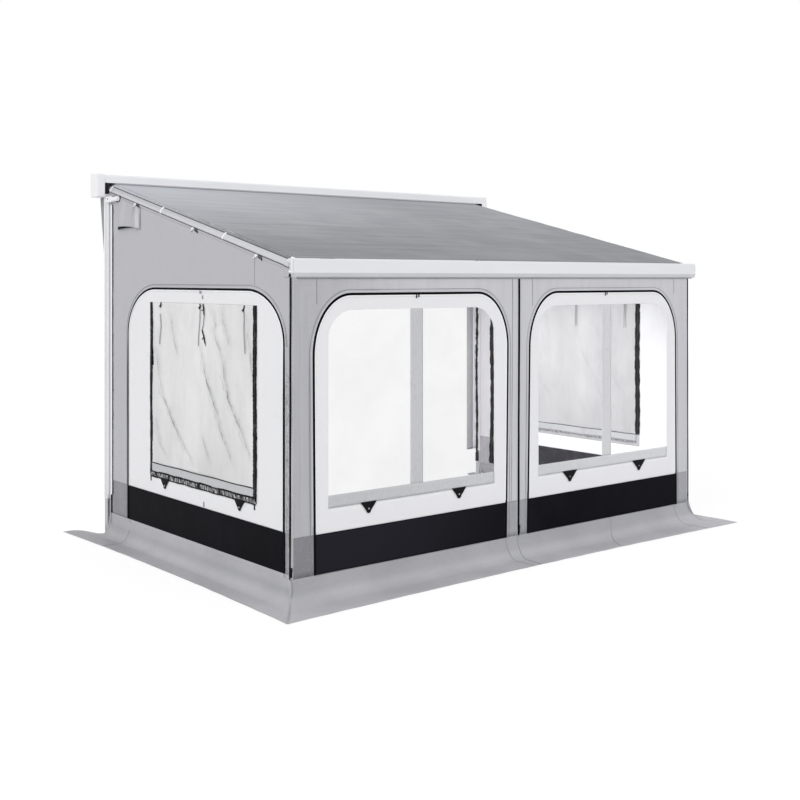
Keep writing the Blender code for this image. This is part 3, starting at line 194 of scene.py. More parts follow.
class Finish:
    """A material under way. add() makes any node from its type, settings and sockets."""

    def __init__(self, name):
        self.material = bpy.data.materials.new(name)
        self.material.use_nodes = True
        self.tree = self.material.node_tree
        self.shader = self.tree.nodes["Principled BSDF"]

    def feed(self, socket, value):
        if isinstance(value, Wire):
            self.tree.links.new(value.socket, socket)
        else:
            socket.default_value = value

    def add(self, kind, settings=None, sockets=None, out=0):
        node = self.tree.nodes.new("ShaderNode" + kind)
        for key, value in (settings or {}).items():
            setattr(node, key, value)
        for key, value in (sockets or {}).items():
            self.feed(node.inputs[key], value)
        return Wire(self, node.outputs[out])

    def set(self, **sockets):
        """Sets or links the shader's own sockets: Base_Color stands for Base Color."""
        for key, value in sockets.items():
            self.feed(self.shader.inputs[key.replace("_", " ")], value)

    def place(self, scale=(1, 1, 1), by="Object"):
        """A point of the surface, scaled, by Object or by UV, which holds metres of cloth."""
        return self.add("Mapping", None, {0: self.add("TexCoord", out=by), "Scale": scale})

    def parts(self, by="Object"):
        """The three parts of a point of the surface."""
        split = self.add("SeparateXYZ", None, {0: self.place(by=by)})
        return [Wire(self, socket) for socket in split.socket.node.outputs]

    def noise(self, size, detail=3.0, rough=0.55, stretch=(1, 1, 1), by="Object"):
        return self.add("TexNoise", None, {"Vector": self.place(stretch, by), "Scale": size,
                                           "Detail": detail, "Roughness": rough})

    def sine(self, wire, pitch):
        return self.add("Math", {"operation": "SINE"}, {0: wire * (math.tau / pitch)})

    def ramp(self, value, start, stop, least=0.0, most=1.0):
        """Value between start and stop, mapped to least and most and held outside."""
        return self.add("MapRange", {"interpolation_type": "SMOOTHSTEP"},
                        {0: value, 1: start, 2: stop, 3: least, 4: most})

    def mix(self, factor, first, second, blend="MIX"):
        """A colour between two colours."""
        return self.add("Mix", {"data_type": "RGBA", "blend_type": blend},
                        {0: factor, 6: shade(first), 7: shade(second)}, out=2)

    def times(self, first, second, factor=1.0):
        """The product of two colours."""
        return self.mix(factor, first, second, "MULTIPLY")

    def bump(self, height, strength=0.3, depth=0.001, under=None):
        under = {"Normal": under} if under else {}
        return self.add("Bump", None, {"Height": height, "Strength": strength, "Distance": depth,
                                       **under})

    def weave(self, pitch):
        """Plain weave on the cloth's own metres: the sine across times the sine along."""
        u, v, _ = self.parts("UV")
        return self.sine(u, pitch) * self.sine(v, pitch) * 0.5 + 0.5

    def cloth(self, base, rough=0.7, cloud=0.06, relief=0.25, sheen=0.1, crease=0.25, gloss=0.3):
        """Woven cloth: threads in relief, soft creases, clouds of lighter and darker dye."""
        threads, fine = self.weave(sizes().thread), self.noise(38, 2)
        tone = self.ramp(self.noise(1.7, 4) * 0.7 + fine * 0.3, 0.3, 0.7)
        dyed = self.mix(threads, darker(base, 0.93), darker(base, 1.03))
        self.base = self.mix(tone * cloud * 2.0, dyed, darker(base, 0.75))
        soft = self.bump(self.noise(5.5, 2, 0.4, (1, 1, 0.35)), crease, 0.012)
        self.set(Base_Color=self.base,
                 Roughness=self.ramp(fine, 0.3, 0.7, rough - 0.06, rough + 0.06),
                 Normal=self.bump(threads, relief, 0.0004, soft),
                 Sheen_Weight=sheen, Sheen_Roughness=0.5, Specular_IOR_Level=gloss)

    def fade(self, base, least):
        """Sets the colour with painted shade: that share of its light at -X, all at +X."""
        self.set(Base_Color=self.times(base, self.ramp(self.parts()[0], -2.2, 1.7, least, 1.0)))

    def inner_face(self):
        """1 on the side of a cloth that faces the middle of the room: its normal points back."""
        node = self.tree.nodes.new("ShaderNodeNewGeometry")
        place, normal = (Wire(self, node.outputs[key]) for key in ("Position", "True Normal"))
        facing = self.add("VectorMath", {"operation": "DOT_PRODUCT"}, {0: place, 1: normal}, 1)
        return facing < 0.0

    def foot_zone(self):
        """Height above the seam that runs on from the black bands, and 1 on a side wall."""
        _, y, z = self.parts()
        side = self.ramp(y, FRONT_Y + 0.002, FRONT_Y + 0.008)
        return z - side * (SIDE_BAND_TOP - BAND_TOP) - BAND_TOP, side


# Finishes. Each function turns a new material into its finish, from the awning's colours.

FINISHES, made_finishes = {}, {}


def finish(name):
    """Keeps a function as the maker of the material of that name."""
    def keep(maker):
        FINISHES[maker.__name__] = name, maker
        return maker
    return keep


def material(key):
    """The material of a finish, made when it is first asked for."""
    if key not in made_finishes:
        name, maker = FINISHES[key]
        new = Finish(name)
        maker(new, bpy.context.scene.awning_colours)
        made_finishes[key] = new.material
    return made_finishes[key]


# Plain cloths: material name, colour, share of its light, how far painted shade darkens it towards
# -X, and its weave.
PLAIN = {
    "cord": ("Grey cord", "strip", 0.5, None, {"relief": 0.5}),
    "binding": ("White binding", "panel", 1.16, None,
                {"rough": 0.6, "relief": 0.35, "cloud": 0.02}),
    "pale_tape": ("Pale tape", "wall", 1.12, 0.88, {"rough": 0.6, "relief": 0.4}),
    # The dark piping also paints shadow lines along the rafters.
    "piping": ("Dark piping", "wall", 0.2, None, {"relief": 0.5, "cloud": 0.1}),
    "hem": ("Doubled wall cloth", "wall", 0.86, 0.86, {"relief": 0.35}),
    "tape": ("Black tape", "tape", 1, None,
             {"rough": 0.65, "relief": 0.5, "crease": 0.1, "sheen": 0, "gloss": 0.12}),
}


def plain(shade_of, share, least, looks):
    """Maker of a plain cloth."""
    def maker(f, c):
        f.cloth(darker(getattr(c, shade_of), share), **looks)
        if least:
            # Painted shade: darker towards -X.
            f.fade(f.base, least)
    return maker


for key, (title, *rest) in PLAIN.items():
    FINISHES[key] = title, plain(*rest)


@finish("Coated roof cloth")
def roof(f, c):
    """Fine streaks run along the vehicle; painted sheen makes it paler towards the cassette and
    towards -X.
    """
    u, v, _ = f.parts("UV")
    broad = f.noise(1.0, 4, 0.6, (0.5, 17, 1), "UV")
    fine = f.noise(1.0, 3, 0.6, (2.2, 95, 1), "UV")
    streaks = f.ramp(broad * 0.55 + fine * 0.45, 0.32, 0.68)
    # Painted sheen: paler towards the cassette and towards -X.
    pale = f.ramp(v, 0.1, 2.9, 0.0, 0.8) * f.ramp(u, -2.2, 1.2, 1.0, 0.28)
    base, sheen_colour = (f.mix(streaks, darker(c.roof, low), darker(c.roof, high))
                      for low, high in ((0.84, 1.16), (2.25, 2.8)))
    relief = f.weave(sizes().thread) * 0.5 + fine * 0.5
    f.set(Base_Color=f.mix(pale, base, sheen_colour),
          Roughness=f.ramp(f.noise(2.3), 0.3, 0.7, 0.5, 0.64),
          Normal=f.bump(relief, 0.2, 0.0005, f.bump(broad, 0.25, 0.006)),
          Specular_IOR_Level=0.35)


@finish("Wall cloth")
def wall(f, c):
    """Grey wall cloth, darker below the stitched seam that runs on from the black bands; painted
    shade darkens its folds and its -X end, painted highlights run along creases, and its inner face
    is painted lighter.
    """
    f.cloth(c.wall)
    (above, side), x = f.foot_zone(), f.parts()[0]
    foot = f.ramp(above, -0.002, 0.003, 1.0, 0.0)
    seam = f.ramp(abs(above - 0.002), 0.002, 0.005, 1.0, 0.0)
    stitches = f.ramp(f.noise(90, 1, stretch=(1, 1, 0.1)), 0.4, 0.5)
    # Painted shade: the front foot darker towards -X.
    front_foot = f.times(c.foot, f.ramp(x, -1.9, -0.3, 1.05, 1.26))
    foot_colour = f.mix(side, front_foot, darker(c.foot, 1.16))
    clouds = f.ramp(f.noise(9, 4, stretch=(1, 1, 0.4)), 0.35, 0.7)
    base = f.mix(foot, f.base, f.mix(clouds * 0.3, foot_colour, darker(c.foot, 0.8)))
    scuff = f.noise(5.5, 4, 0.7, (1, 1, 9))
    base = f.mix(f.ramp(scuff, 0.68, 0.8, 0.0, 0.25), base, darker(c.wall, 0.7))
    base = f.mix(seam * (stitches * 0.35 + 0.3), base, darker(c.foot, 0.45))
    # Painted shade of hanging folds: faint darker upright streaks, stronger on the front wall.
    fold_shade = f.ramp(f.noise(17, 3, 0.5, (1, 1, 0.05)), 0.42, 0.66)
    base = f.mix(fold_shade * (side * -0.08 + 0.10), base, darker(c.wall, 0.62))
    # Painted highlights along creases, strongest in the foot.
    pressed = f.ramp(abs(f.noise(12, 3, 0.6, (1, 1, 0.7)) - 0.5), 0.0, 0.012, 1.0, 0.0)
    base = f.mix(pressed * (foot * 0.22 + 0.05), base, darker(c.wall, 1.1))
    # Painted shade: darker towards -X, less so on the side walls.
    base = f.times(base, f.ramp(x, -2.05, -0.9, 0.81, 1.03) + side * 0.05)
    # Painted light: the face towards the room is lighter.
    f.set(Base_Color=f.times(base, (1.40, 1.365, 1.335), f.inner_face()))


@finish("Speckled cloth")
def heather(f, c):
    """Speckled grey cloth of the corner columns, which thins out to the wall cloth above."""
    f.cloth(darker(c.wall, 0.9), relief=0.5)
    specks = f.ramp(f.noise(150, 3, 0.75), 0.40, 0.60)
    blots = f.ramp(f.noise(45, 3, 0.7, (1, 1, 0.5)), 0.42, 0.62)
    z = f.parts()[2]
    base = f.mix(specks * 0.6 + blots * 0.4, darker(c.wall, 1.14), darker(c.wall, 0.40))
    foot = f.ramp(z, SIDE_BAND_TOP - 0.004, SIDE_BAND_TOP + 0.002, 0.45, 0.0)
    base = f.mix(foot, base, darker(c.foot, 0.8))
    # Painted shade: darker towards -X.
    f.fade(f.mix(f.ramp(z, 1.35, 1.62), base, darker(c.wall, 0.96)), 0.84)


@finish("Black coated cloth")
def band(f, c):
    """Black splash band: grained coated cloth with a dull gloss and bluish scuffs."""
    grain = f.noise(420, 2)
    scuff = f.ramp(f.noise(2.6, 5, 0.6, (1, 1, 0.7)), 0.42, 0.72)
    streak = f.ramp(f.noise(11, 5, 0.7, (1, 1, 5)), 0.62, 0.8)
    soft = f.bump(f.noise(4, 2, stretch=(1, 1, 0.5)), 0.35, 0.012)
    x, y, _ = f.parts()
    pale = (f.ramp(x, -1.6, 0.3, 1.0, 0.0)
            * f.ramp(y, FRONT_Y + 0.002, FRONT_Y + 0.008, 1.0, 0.0))
    base = f.mix(scuff * 0.6, c.band, darker(c.band, 2.2))
    base = f.mix(pale, base, (0.0155, 0.0145, 0.0205))
    f.set(Base_Color=f.mix(streak * 0.25, base, darker(c.band, 4)),
          Roughness=f.ramp(grain, 0.3, 0.7, 0.5, 0.62),
          Normal=f.bump(grain, 0.3, 0.0004, soft), Specular_IOR_Level=0.04)


@finish("Skirt cloth")
def skirt(f, c):
    """Grey below the seam; painted shade near the seam, painted light past the bend, and painted
    shade at the outer rear ends.
    """
    speck = f.noise(60, 2)
    tone = f.ramp(f.noise(2.1, 5), 0.3, 0.72)
    base = f.mix(tone, darker(c.skirt, 1.05), darker(c.skirt, 0.9))
    base = f.mix(f.ramp(speck, 0.52, 0.75) * 0.3, base, darker(c.skirt, 0.82))
    run, (x, y, _) = f.parts("UV")[1], f.parts()
    # Painted shade near the seam and painted light past the bend, by the run down from the seam.
    light = f.ramp(run, 0.075, 0.145, 0.86, 1.04) * f.ramp(run, 0.15, 0.24, 1.0, 1.10)
    # Painted shade on the outer rear ends, where the cloth lies flat past its bend.
    dust_and_shade = f.ramp(y, 0.2, 1.2) * f.ramp(abs(x), 2.04, 2.13)
    soft = f.bump(f.noise(3.2, 3, 0.45), 0.3, 0.012)
    f.set(Base_Color=f.times(base, light * (1.0 - dust_and_shade * 0.32)),
          Roughness=f.ramp(speck, 0.3, 0.7, 0.46, 0.6),
          Normal=f.bump(f.weave(sizes().thread * 1.3), 0.2, 0.0004, soft))


@finish("Grey strip")
def strip(f, c):
    """Pale grey webbing of the windows, with painted shade along slanting creases."""
    f.cloth(darker(c.strip, 1.04), rough=0.62, relief=0.4)
    # Painted shade: darker lines along the slanting creases.
    lines = f.ramp(abs(f.noise(4.5, 3, 0.55, (3.2, 3.2, 2.2)) - 0.5), 0.0, 0.016, 1.0, 0.0)
    # Painted shade: darker towards -X.
    f.fade(f.mix(lines * 0.3, f.base, darker(c.strip, 0.6)), 0.80)


@finish("Sleeve cloth")
def sleeve(f, c):
    """Sleeves of the rafters: shaded by the roof's edge along their top, towards the rear."""
    f.cloth(darker(c.wall, 1.12), rough=0.6, relief=0.3)
    _, y, z = f.parts()
    level, rise = float(rafter_height(0.0)), float(rafter_height(1.0) - rafter_height(0.0))
    above = z - (y * rise + level)
    shaded = f.ramp(above, 0.002, 0.020) * f.ramp(y, -0.9, 0.9, 0.15, 0.9)
    f.set(Base_Color=f.mix(shaded * 0.38, f.base, darker(c.wall, 0.46)))


@finish("Stitched seam")
def seam(f, c):
    """A pressed line with dark stitches, from the metres along it."""
    f.cloth(darker(c.wall, 0.6), relief=0.4)
    stitch = f.sine(f.parts("UV")[0], 0.009) * 0.5 + 0.5
    # Painted shade: darker towards -X.
    f.fade(f.mix(stitch * 0.5, f.base, darker(c.wall, 0.34)), 0.86)


@finish("Flap cloth")
def flap(f, c):
    """Wall cloth with a painted highlight on its fold and painted shade in its hollow, by the
    crease attribute.
    """
    f.cloth(c.wall)
    crease = f.add("Attribute", {"attribute_name": "crease"}, out=2)
    # Painted highlight where the crease value is above 0, painted shade where it is below.
    base = f.mix(f.ramp(crease, 0.0, 1.0), f.base, darker(c.wall, 1.24))
    # Painted shade: darker towards -X.
    f.fade(f.mix(f.ramp(crease, 0.0, -1.0), base, darker(c.wall, 0.72)), 0.82)


@finish("Panel cloth")
def panel(f, c):
    """White coated panel cloth; its foot is the back of the black splash band, with painted
    highlights along its wrinkles, and its face towards the room is painted lighter.
    """
    f.cloth(c.panel, rough=0.55, cloud=0.03, crease=0.2)
    foot = f.ramp(f.foot_zone()[0], -0.004, 0.0, 1.0, 0.0)
    rub = f.ramp(f.noise(14, 4, 0.7, (1, 1, 3)), 0.45, 0.75)
    # Painted highlights along wrinkles in the back of the band.
    lines = f.ramp(abs(f.noise(9, 3, 0.6, (1, 1, 1.6)) - 0.5), 0.0, 0.02, 1.0, 0.0)
    back = f.mix(rub * 0.4, (0.012, 0.011, 0.019), (0.030, 0.027, 0.040))
    back = f.mix(lines * 0.5, back, (0.13, 0.12, 0.15))
    # Painted light: the face towards the room is lighter.
    f.set(Base_Color=f.mix(foot, f.times(f.base, (1.3, 1.3, 1.3), f.inner_face()), back))


@finish("Zip")
def coil_zip(f, c):
    """Zip: black tape with a row of coil teeth along its middle, from the metres along it."""
    u, v, _ = f.parts("UV")
    teeth, ribs = f.sine(u, 0.0036) * 0.5 + 0.5, f.sine(v, 0.0012) * 0.5 + 0.5
    middle = f.ramp(abs(v), 0.0022, 0.0034, 1.0, 0.0)
    wear = f.ramp(f.noise(45), 0.6, 0.8)
    base = f.mix(teeth * middle * 0.25, c.tape, darker(c.tape, 3))
    f.set(Base_Color=f.mix(wear * 0.15, base, darker(c.tape, 3)),
          Roughness=f.ramp(middle, 0, 1, 0.75, 0.5),
          Normal=f.bump(teeth * middle + ribs * 0.2 + middle, 0.5, 0.0008),
          Specular_IOR_Level=0.04)


@finish("Coarse zip")
def coarse_zip(f, c):
    """Coarse black zip: pale flecks show between its ragged teeth."""
    u, v, _ = f.parts("UV")
    flecks = f.ramp(f.noise(110, 3, 0.75, (1, 1.4, 1), "UV"), 0.57, 0.68)
    patches = f.ramp(f.noise(7, 2, by="UV"), 0.48, 0.62)
    teeth = f.sine(u, 0.009) * 0.5 + 0.5
    core = f.ramp(abs(v), 0.002, 0.007, 1.0, 0.0)
    base = f.mix(core * 0.5, c.tape, (0.045, 0.043, 0.055))
    f.set(Base_Color=f.mix(flecks * (patches * 0.75 + 0.15), base, (0.55, 0.55, 0.57)),
          Roughness=f.ramp(flecks, 0, 1, 0.6, 0.8),
          Normal=f.bump(teeth + flecks * 0.4, 0.5, 0.001), Specular_IOR_Level=0.06)


@finish("Worn zip")
def worn_zip(f, c):
    """Purplish grey zip, worn pale in short lengths."""
    coarse_zip(f, c)
    bare = f.ramp(f.noise(70, 3, 0.7, (1, 0.2, 1), "UV"), 0.42, 0.6)
    f.set(Base_Color=f.mix(bare, (0.13, 0.12, 0.15), (0.66, 0.64, 0.68)))


@finish("Ticked zip")
def ticked_zip(f, c):
    """Black zip flap with uneven pale ticks across it, where its teeth are worn bare."""
    bars = f.ramp(f.noise(85, 2, 0.6, (1, 0.12, 1), "UV"), 0.47, 0.56)
    groups = f.ramp(f.noise(14, 2, stretch=(1, 0.1, 1), by="UV"), 0.38, 0.50)
    ticks = bars * groups * f.ramp(abs(f.parts("UV")[1] + 0.002), 0.012, 0.016, 1.0, 0.0)
    f.set(Base_Color=f.mix(ticks * 0.9, c.tape, (0.58, 0.58, 0.60)),
          Roughness=f.ramp(ticks, 0, 1, 0.6, 0.75),
          Normal=f.bump(ticks, 0.5, 0.001), Specular_IOR_Level=0.12)


@finish("White paint")
def paint(f, c, base=None, rough=0.3):
    """Powder coat or moulded plastic: fine orange peel, dust in broad clouds, rubbed gloss."""
    base = base or c.paint
    dust_and_shade = f.noise(3.4, 5, 0.6, (0.4, 1, 1))
    marks = f.ramp(f.noise(22, 4, 0.65, (0.25, 3, 3)), 0.62, 0.8)
    dusty = f.mix(f.ramp(dust_and_shade, 0.35, 0.75) * 0.16, base, darker(base, 0.82))
    f.base = f.mix(marks * 0.12, dusty, darker(base, 0.6))
    f.set(Base_Color=f.base, Roughness=f.ramp(dust_and_shade, 0.3, 0.7, rough, rough + 0.14),
          Normal=f.bump(f.noise(320, 2), 0.12, 0.0003), Coat_Weight=0.15, Coat_Roughness=0.2)


@finish("White plastic")
def plastic(f, c):
    """Moulded plastic: the paint's finish with less gloss."""
    paint(f, c, c.plastic, 0.36)


@finish("Rail paint")
def rail(f, c):
    """The rail's powder coat, darker along its slanted lower edge below a thin dark line."""
    paint(f, c, darker(c.paint, 0.885))
    z = f.parts()[2]
    lower = f.ramp(z, RAIL_UNDER + 0.027, RAIL_UNDER + 0.029, 1.0, 0.0)
    line = f.ramp(abs(z - RAIL_UNDER - 0.029), 0.001, 0.003, 1.0, 0.0)
    lower_tone = f.mix(f.noise(5, stretch=(0.6, 1, 1)), darker(c.paint, 0.74), darker(c.paint, 0.68))
    f.set(Base_Color=f.mix(line * 0.35, f.mix(lower, f.base, lower_tone), darker(c.paint, 0.5)))


@finish("Drawn aluminium")
def metal(f, c):
    """Fine lines run along the tubes, with a few rubbed marks."""
    lines = f.noise(1.0, 3, 0.6, (260, 260, 3))
    marks = f.ramp(f.noise(16, 4, 0.65), 0.55, 0.75)
    f.set(Base_Color=f.mix(marks * 0.3, c.metal, darker(c.metal, 0.7)),
          Roughness=f.ramp(lines, 0.3, 0.7, 0.28, 0.46),
          Normal=f.bump(lines, 0.12, 0.0003), Metallic=0.85)


@finish("Black plastic")
def dark_plastic(f, c):
    """Black moulded plastic with a satin grain."""
    grain = f.noise(600, 2)
    wear = f.ramp(f.noise(60), 0.5, 0.8)
    f.set(Base_Color=f.mix(wear * 0.3, c.tape, darker(c.tape, 4)),
          Roughness=f.ramp(grain, 0.3, 0.7, 0.4, 0.55),
          Normal=f.bump(grain, 0.2, 0.0003), Specular_IOR_Level=0.2)


@finish("Sealing foam")
def foam(f, c):
    """Open-cell foam: small dark cells in grey."""
    cells = f.add("TexVoronoi", None, {"Vector": f.place(), "Scale": 330.0})
    clouds = f.noise(14)
    base = f.mix(f.ramp(cells, 0.1, 0.6), darker(c.foam, 1.1), darker(c.foam, 0.7))
    f.set(Base_Color=f.mix(clouds * 0.25, base, darker(c.foam, 0.85)),
          Roughness=f.ramp(clouds, 0.3, 0.7, 0.85, 0.95), Normal=f.bump(cells, 0.5, 0.001))


@finish("Clear film")
def clear_film(f, c):
    """Almost all light passes, with a trace of haze, dust and soft waves."""
    haze = f.noise(2.6, 4)
    f.set(Base_Color=f.mix(haze * 0.3, darker(c.film, 0.45), darker(c.film, 0.4)),
          Roughness=f.ramp(haze, 0.3, 0.7, 0.12, 0.22),
          Alpha=f.ramp(haze, 0.3, 0.75, 0.050, 0.078),
          Normal=f.bump(f.noise(3.0, 2, 0.4, (1, 1, 0.5)), 0.2, 0.01), Specular_IOR_Level=0.15)


@finish("Milky film")
def milky_film(f, c):
    """Side window film: milky, with painted grey reflections along the creases that its crease
    attribute gives.
    """
    creases = f.add("Attribute", {"attribute_name": "crease"}, out=2)
    haze = f.noise(3.2, 4)
    drift = f.noise(2.2, 4, 0.6, (1, 1.6, 0.35))
    fine = f.ramp(f.noise(16, 4, 0.6, (1, 2.2, 0.5)), 0.55, 0.75)
    broken = f.ramp(f.noise(34, 3, 0.7, (1, 1, 0.6)), 0.34, 0.62, 0.4, 1.0)
    base = f.mix(f.ramp(drift, 0.3, 0.7), darker(c.milk, 1.05), darker(c.milk, 0.92))
    base = f.mix(fine * 0.2, base, darker(c.milk, 0.7))
    base = f.times(base, f.ramp(f.parts()[2], 0.6, 1.1, 0.93, 1.0))
    # Painted shade: the face towards the room a little darker.
    base = f.times(base, (0.91, 0.90, 0.91), f.inner_face())
    # Painted reflections: grey along the creases.
    f.set(Base_Color=f.mix(creases * broken * 1.25, base, darker(c.milk, 0.25)),
          Roughness=f.ramp(haze, 0.3, 0.7, 0.3, 0.44),
          Alpha=f.ramp(haze, 0.3, 0.75, 0.86, 0.96),
          Normal=f.bump(fine + drift, 0.2, 0.004), Specular_IOR_Level=0.3)


@finish("Pale floor")
def floor(f, c):
    """Mostly plain white to the camera, the rest a diffuse floor that takes shadow."""
    speck = f.noise(0.7)
    f.set(Base_Color=f.mix(speck, (0.86, 0.86, 0.86), (0.84, 0.84, 0.84)), Roughness=0.9)
    path = f.tree.nodes.new("ShaderNodeLightPath")
    seen, glossy, through = (Wire(f, path.outputs[f"Is {ray} Ray"])
                             for ray in ("Camera", "Glossy", "Transmission"))
    share = f.add("Math", {"operation": "MINIMUM"}, {0: seen + glossy + through, 1: 1.0}) * 0.82
    white = f.add("Emission", None, {"Color": (1, 1, 1, 1), "Strength": 1.05})
    both = f.add("MixShader", None, {0: share, 1: Wire(f, f.shader.outputs[0]), 2: white})
    f.feed(f.tree.nodes["Material Output"].inputs["Surface"], both)


# Shapes. Points on a wall are (along, up): along is X on the front wall and Y on a side wall.

LEG_STEPS, CORNER_STEPS, HEAD_STEPS = 36, 20, 56
KINDS = [(kind, side) for kind in ("front", "side") for side in SIDES]
PANEL_ROUNDS = {"front": (0.300, 0.400), "side": (0.440, 0.350)}
WINDOW_ROUNDS = {"front": (0.200, 0.190), "side": (0.25, 0.25)}

# How far along X each upright line of the front cloth leans at its foot, by its X.
LEAN = ((-2.03, -0.005), (-1.86, 0.013), (-1.75, 0.0), (-0.25, 0.0), (-0.115, -0.022),
        (0.0, -0.008), (0.115, -0.026), (0.205, 0.0), (1.75, 0.0), (1.86, 0.012), (2.03, 0.006))


def at(*axes):
    """Points from their coordinates, each spread to the shape of all."""
    return np.stack(np.broadcast_arrays(*axes), axis=-1)


def field(along, up):
    """Grid of points (along, up)."""
    return at(*np.meshgrid(along, up))


def wall_of(kind, side):
    """The wall on which a piece of that kind and side stands."""
    return "front" if kind == "front" else side


def facing(wall):
    """The way a wall faces."""
    return (0, -1, 0) if wall == "front" else (SIDES[wall], 0, 0)


def extent(kind, part, side):
    """Reach of a wall, panel or window along its wall and upwards."""
    node = f"{kind}_{part}_{side}"
    axes = [0 if kind == "front" else 1, 2]
    return np.transpose([low(node)[axes], high(node)[axes]])


def outline(span, bottom, top, rounds, square=False):
    """Points of an arch, from the foot of its low side over its top to the other.

    Each upper corner is a quarter ellipse about a centre that lies its radii in from the side
    and the top. Rounds gives (along, up) radii for both corners, or for each. Square pushes each
    corner point out along its own ray until it meets the side or the top.
    """
    first, second = rounds if np.ndim(rounds) == 2 else (rounds, rounds)
    turn = np.linspace(math.pi, math.pi / 2, CORNER_STEPS + 1)
    ray = at(np.cos(turn), np.sin(turn))
    if square:
        ray /= np.abs(ray).max(axis=1, keepdims=True)
    start = np.array([span[0] + first[0], top - first[1]])
    stop = np.array([span[1] - second[0], top - second[1]])
    rise = np.linspace(0, 1, LEG_STEPS + 1)[:-1]
    run = np.linspace(0, 1, HEAD_STEPS + 1)[1:-1]
    return np.concatenate([at(span[0], (1 - rise) * bottom + rise * start[1]),
                           start + ray * first,
                           at((1 - run) * start[0] + run * stop[0], top),
                           (stop + ray * (-second[0], second[1]))[::-1],
                           at(span[1], (1 - rise) * bottom + rise * stop[1])[::-1]])


def closed(points):
    """An outline with its foot closed by evenly spaced points."""
    run = np.linspace(0, 1, HEAD_STEPS + 1)[1:-1, None]
    return np.concatenate([points, points[-1] * (1 - run) + points[0] * run])


def ring(inner, outer, rows):
    """Grid of points between two matched outlines, each row a straight share of the way."""
    share = np.linspace(0, 1, rows)[:, None, None]
    return inner * (1 - share) + outer * share


def joined(grid):
    """A grid with its first column once more at its end."""
    return np.concatenate([grid, grid[:, :1]], axis=1)


def arch(kind, side, grow=0.0):
    """The arch of a panel, grown by grow."""
    (first, last), (_, top) = extent(kind, "panel", side)
    rounds = np.add(PANEL_ROUNDS[kind], grow)
    return outline((first - grow, last + grow), SEAM_Z, top + grow, rounds)


def window(kind, side, grow=0.0):
    """Opening of a window, grown by grow. A side window is square."""
    (first, last), (foot, top) = extent(kind, "window", side)
    rounds = np.add(WINDOW_ROUNDS[kind], grow)
    return outline((first - grow, last + grow), foot - grow, top + grow, rounds, kind == "side")


def side_top(y):
    """Top edge of a side wall, just under its rafter; under the rail it stops at the rail."""
    return np.where(y < RAIL_REAR, RAIL_UNDER - 0.0004, rafter_height(y) - 0.0274)


def wall_edge(kind, side):
    """Outer edge of a wall, matched to its arch: corner points lie on the arch's rays."""
    ends, (_, top) = extent(kind, "wall", side)
    arch_ends, (_, arch_top) = extent(kind, "panel", side)
    wide, tall = PANEL_ROUNDS[kind]
    level = arch_top - tall
    head = top - level if kind == "front" else 1.0
    rounds = [(wide + abs(inner - outer), head) for inner, outer in zip(arch_ends, ends)]
    along, up = outline(ends, SEAM_Z, level + head, rounds, True).T.copy()
    if kind == "side":
        above = up > level
        up[above] = level + (up[above] - level) * (side_top(along[above]) - level)
    return at(along, up)


def bell(distance, width):
    """A bell curve: 1 at its middle, and one over e at its width."""
    return np.exp(-(distance / width) ** 2)


def stood(points, wall, out=0.0):
    """Places for points of a wall, out metres in front of its outer face. Front lines lean."""
    along, up = points[..., 0], points[..., 1]
    if wall == "front":
        lean = np.interp(along, *zip(*LEAN)) * np.clip((1.9 - up) / 1.74, 0, 1) ** 1.2
        return at(along + lean, FRONT_Y - out, up)
    return at(SIDES[wall] * (HALF_LENGTH + out), along, up)


def laid(points, wall, out):
    """A patch of cloth on a wall."""
    return stood(points, wall, out), points


def ripple(points, seed, finest=0.22, waves=9):
    """Gentle unevenness from -1 to 1: the mean of sine waves in directions that the seed picks."""
    draw, total = np.random.default_rng(seed), 0
    for _ in range(waves):
        angle, size = draw.uniform(0, math.tau), draw.uniform(finest, 4 * finest)
        reach = (points[..., 0] * math.cos(angle) + points[..., 1] * math.sin(angle)) / size
        total = total + np.sin(math.tau * reach + draw.uniform(0, math.tau))
    return total / waves ** 0.5


def flat_profile(width, thick):
    """A tape's outline: a rectangle with its edges bevelled, standing on its path."""
    w, t, b = width / 2, thick, min(width, thick) * 0.3
    return np.array([(-w, b), (-w + b, 0), (w - b, 0), (w, b), (w, t - b), (w - b, t), (0, t),
                     (-w + b, t), (-w, t - b)])


def round_profile(radius, sides=8):
    """A cord's outline: a circle."""
    turn = np.arange(sides) / sides * math.tau
    return radius * at(np.cos(turn), np.sin(turn))


def run_of(path):
    """Metres along a path at each of its points."""
    return np.append(0, np.cumsum(np.linalg.norm(np.diff(path, axis=0), axis=1)))


def tube(path, profile, out):
    """A patch for a profile (across, out) carried along a path.

    At each place the profile's first axis lies square to the path and to out, and its second
    along out. At a bend it is widened by one over the cosine of half the turn.
    """
    steps = np.diff(path, axis=0)
    steps /= np.linalg.norm(steps, axis=1, keepdims=True)
    after = np.concatenate([steps, steps[-1:]])
    along = after + np.concatenate([steps[:1], steps])
    along /= np.linalg.norm(along, axis=1, keepdims=True)
    spread = 1 / np.clip((along * after).sum(axis=1, keepdims=True), 0.5, 1)
    out = out - along * (along * out).sum(axis=1, keepdims=True)
    out /= np.linalg.norm(out, axis=1, keepdims=True)
    across = (np.cross(along, out) * spread)[:, None]
    grid = path[:, None] + profile[:, :1] * across + profile[:, 1:] * out[:, None]
    return grid, at(run_of(path)[:, None], np.append(profile[:, 0], profile[0, 0])), True


def sewn(line, wall, out, width, thick):
    """A tape along a line of a wall."""
    return tube(stood(line, wall, out), flat_profile(width, thick), facing(wall))


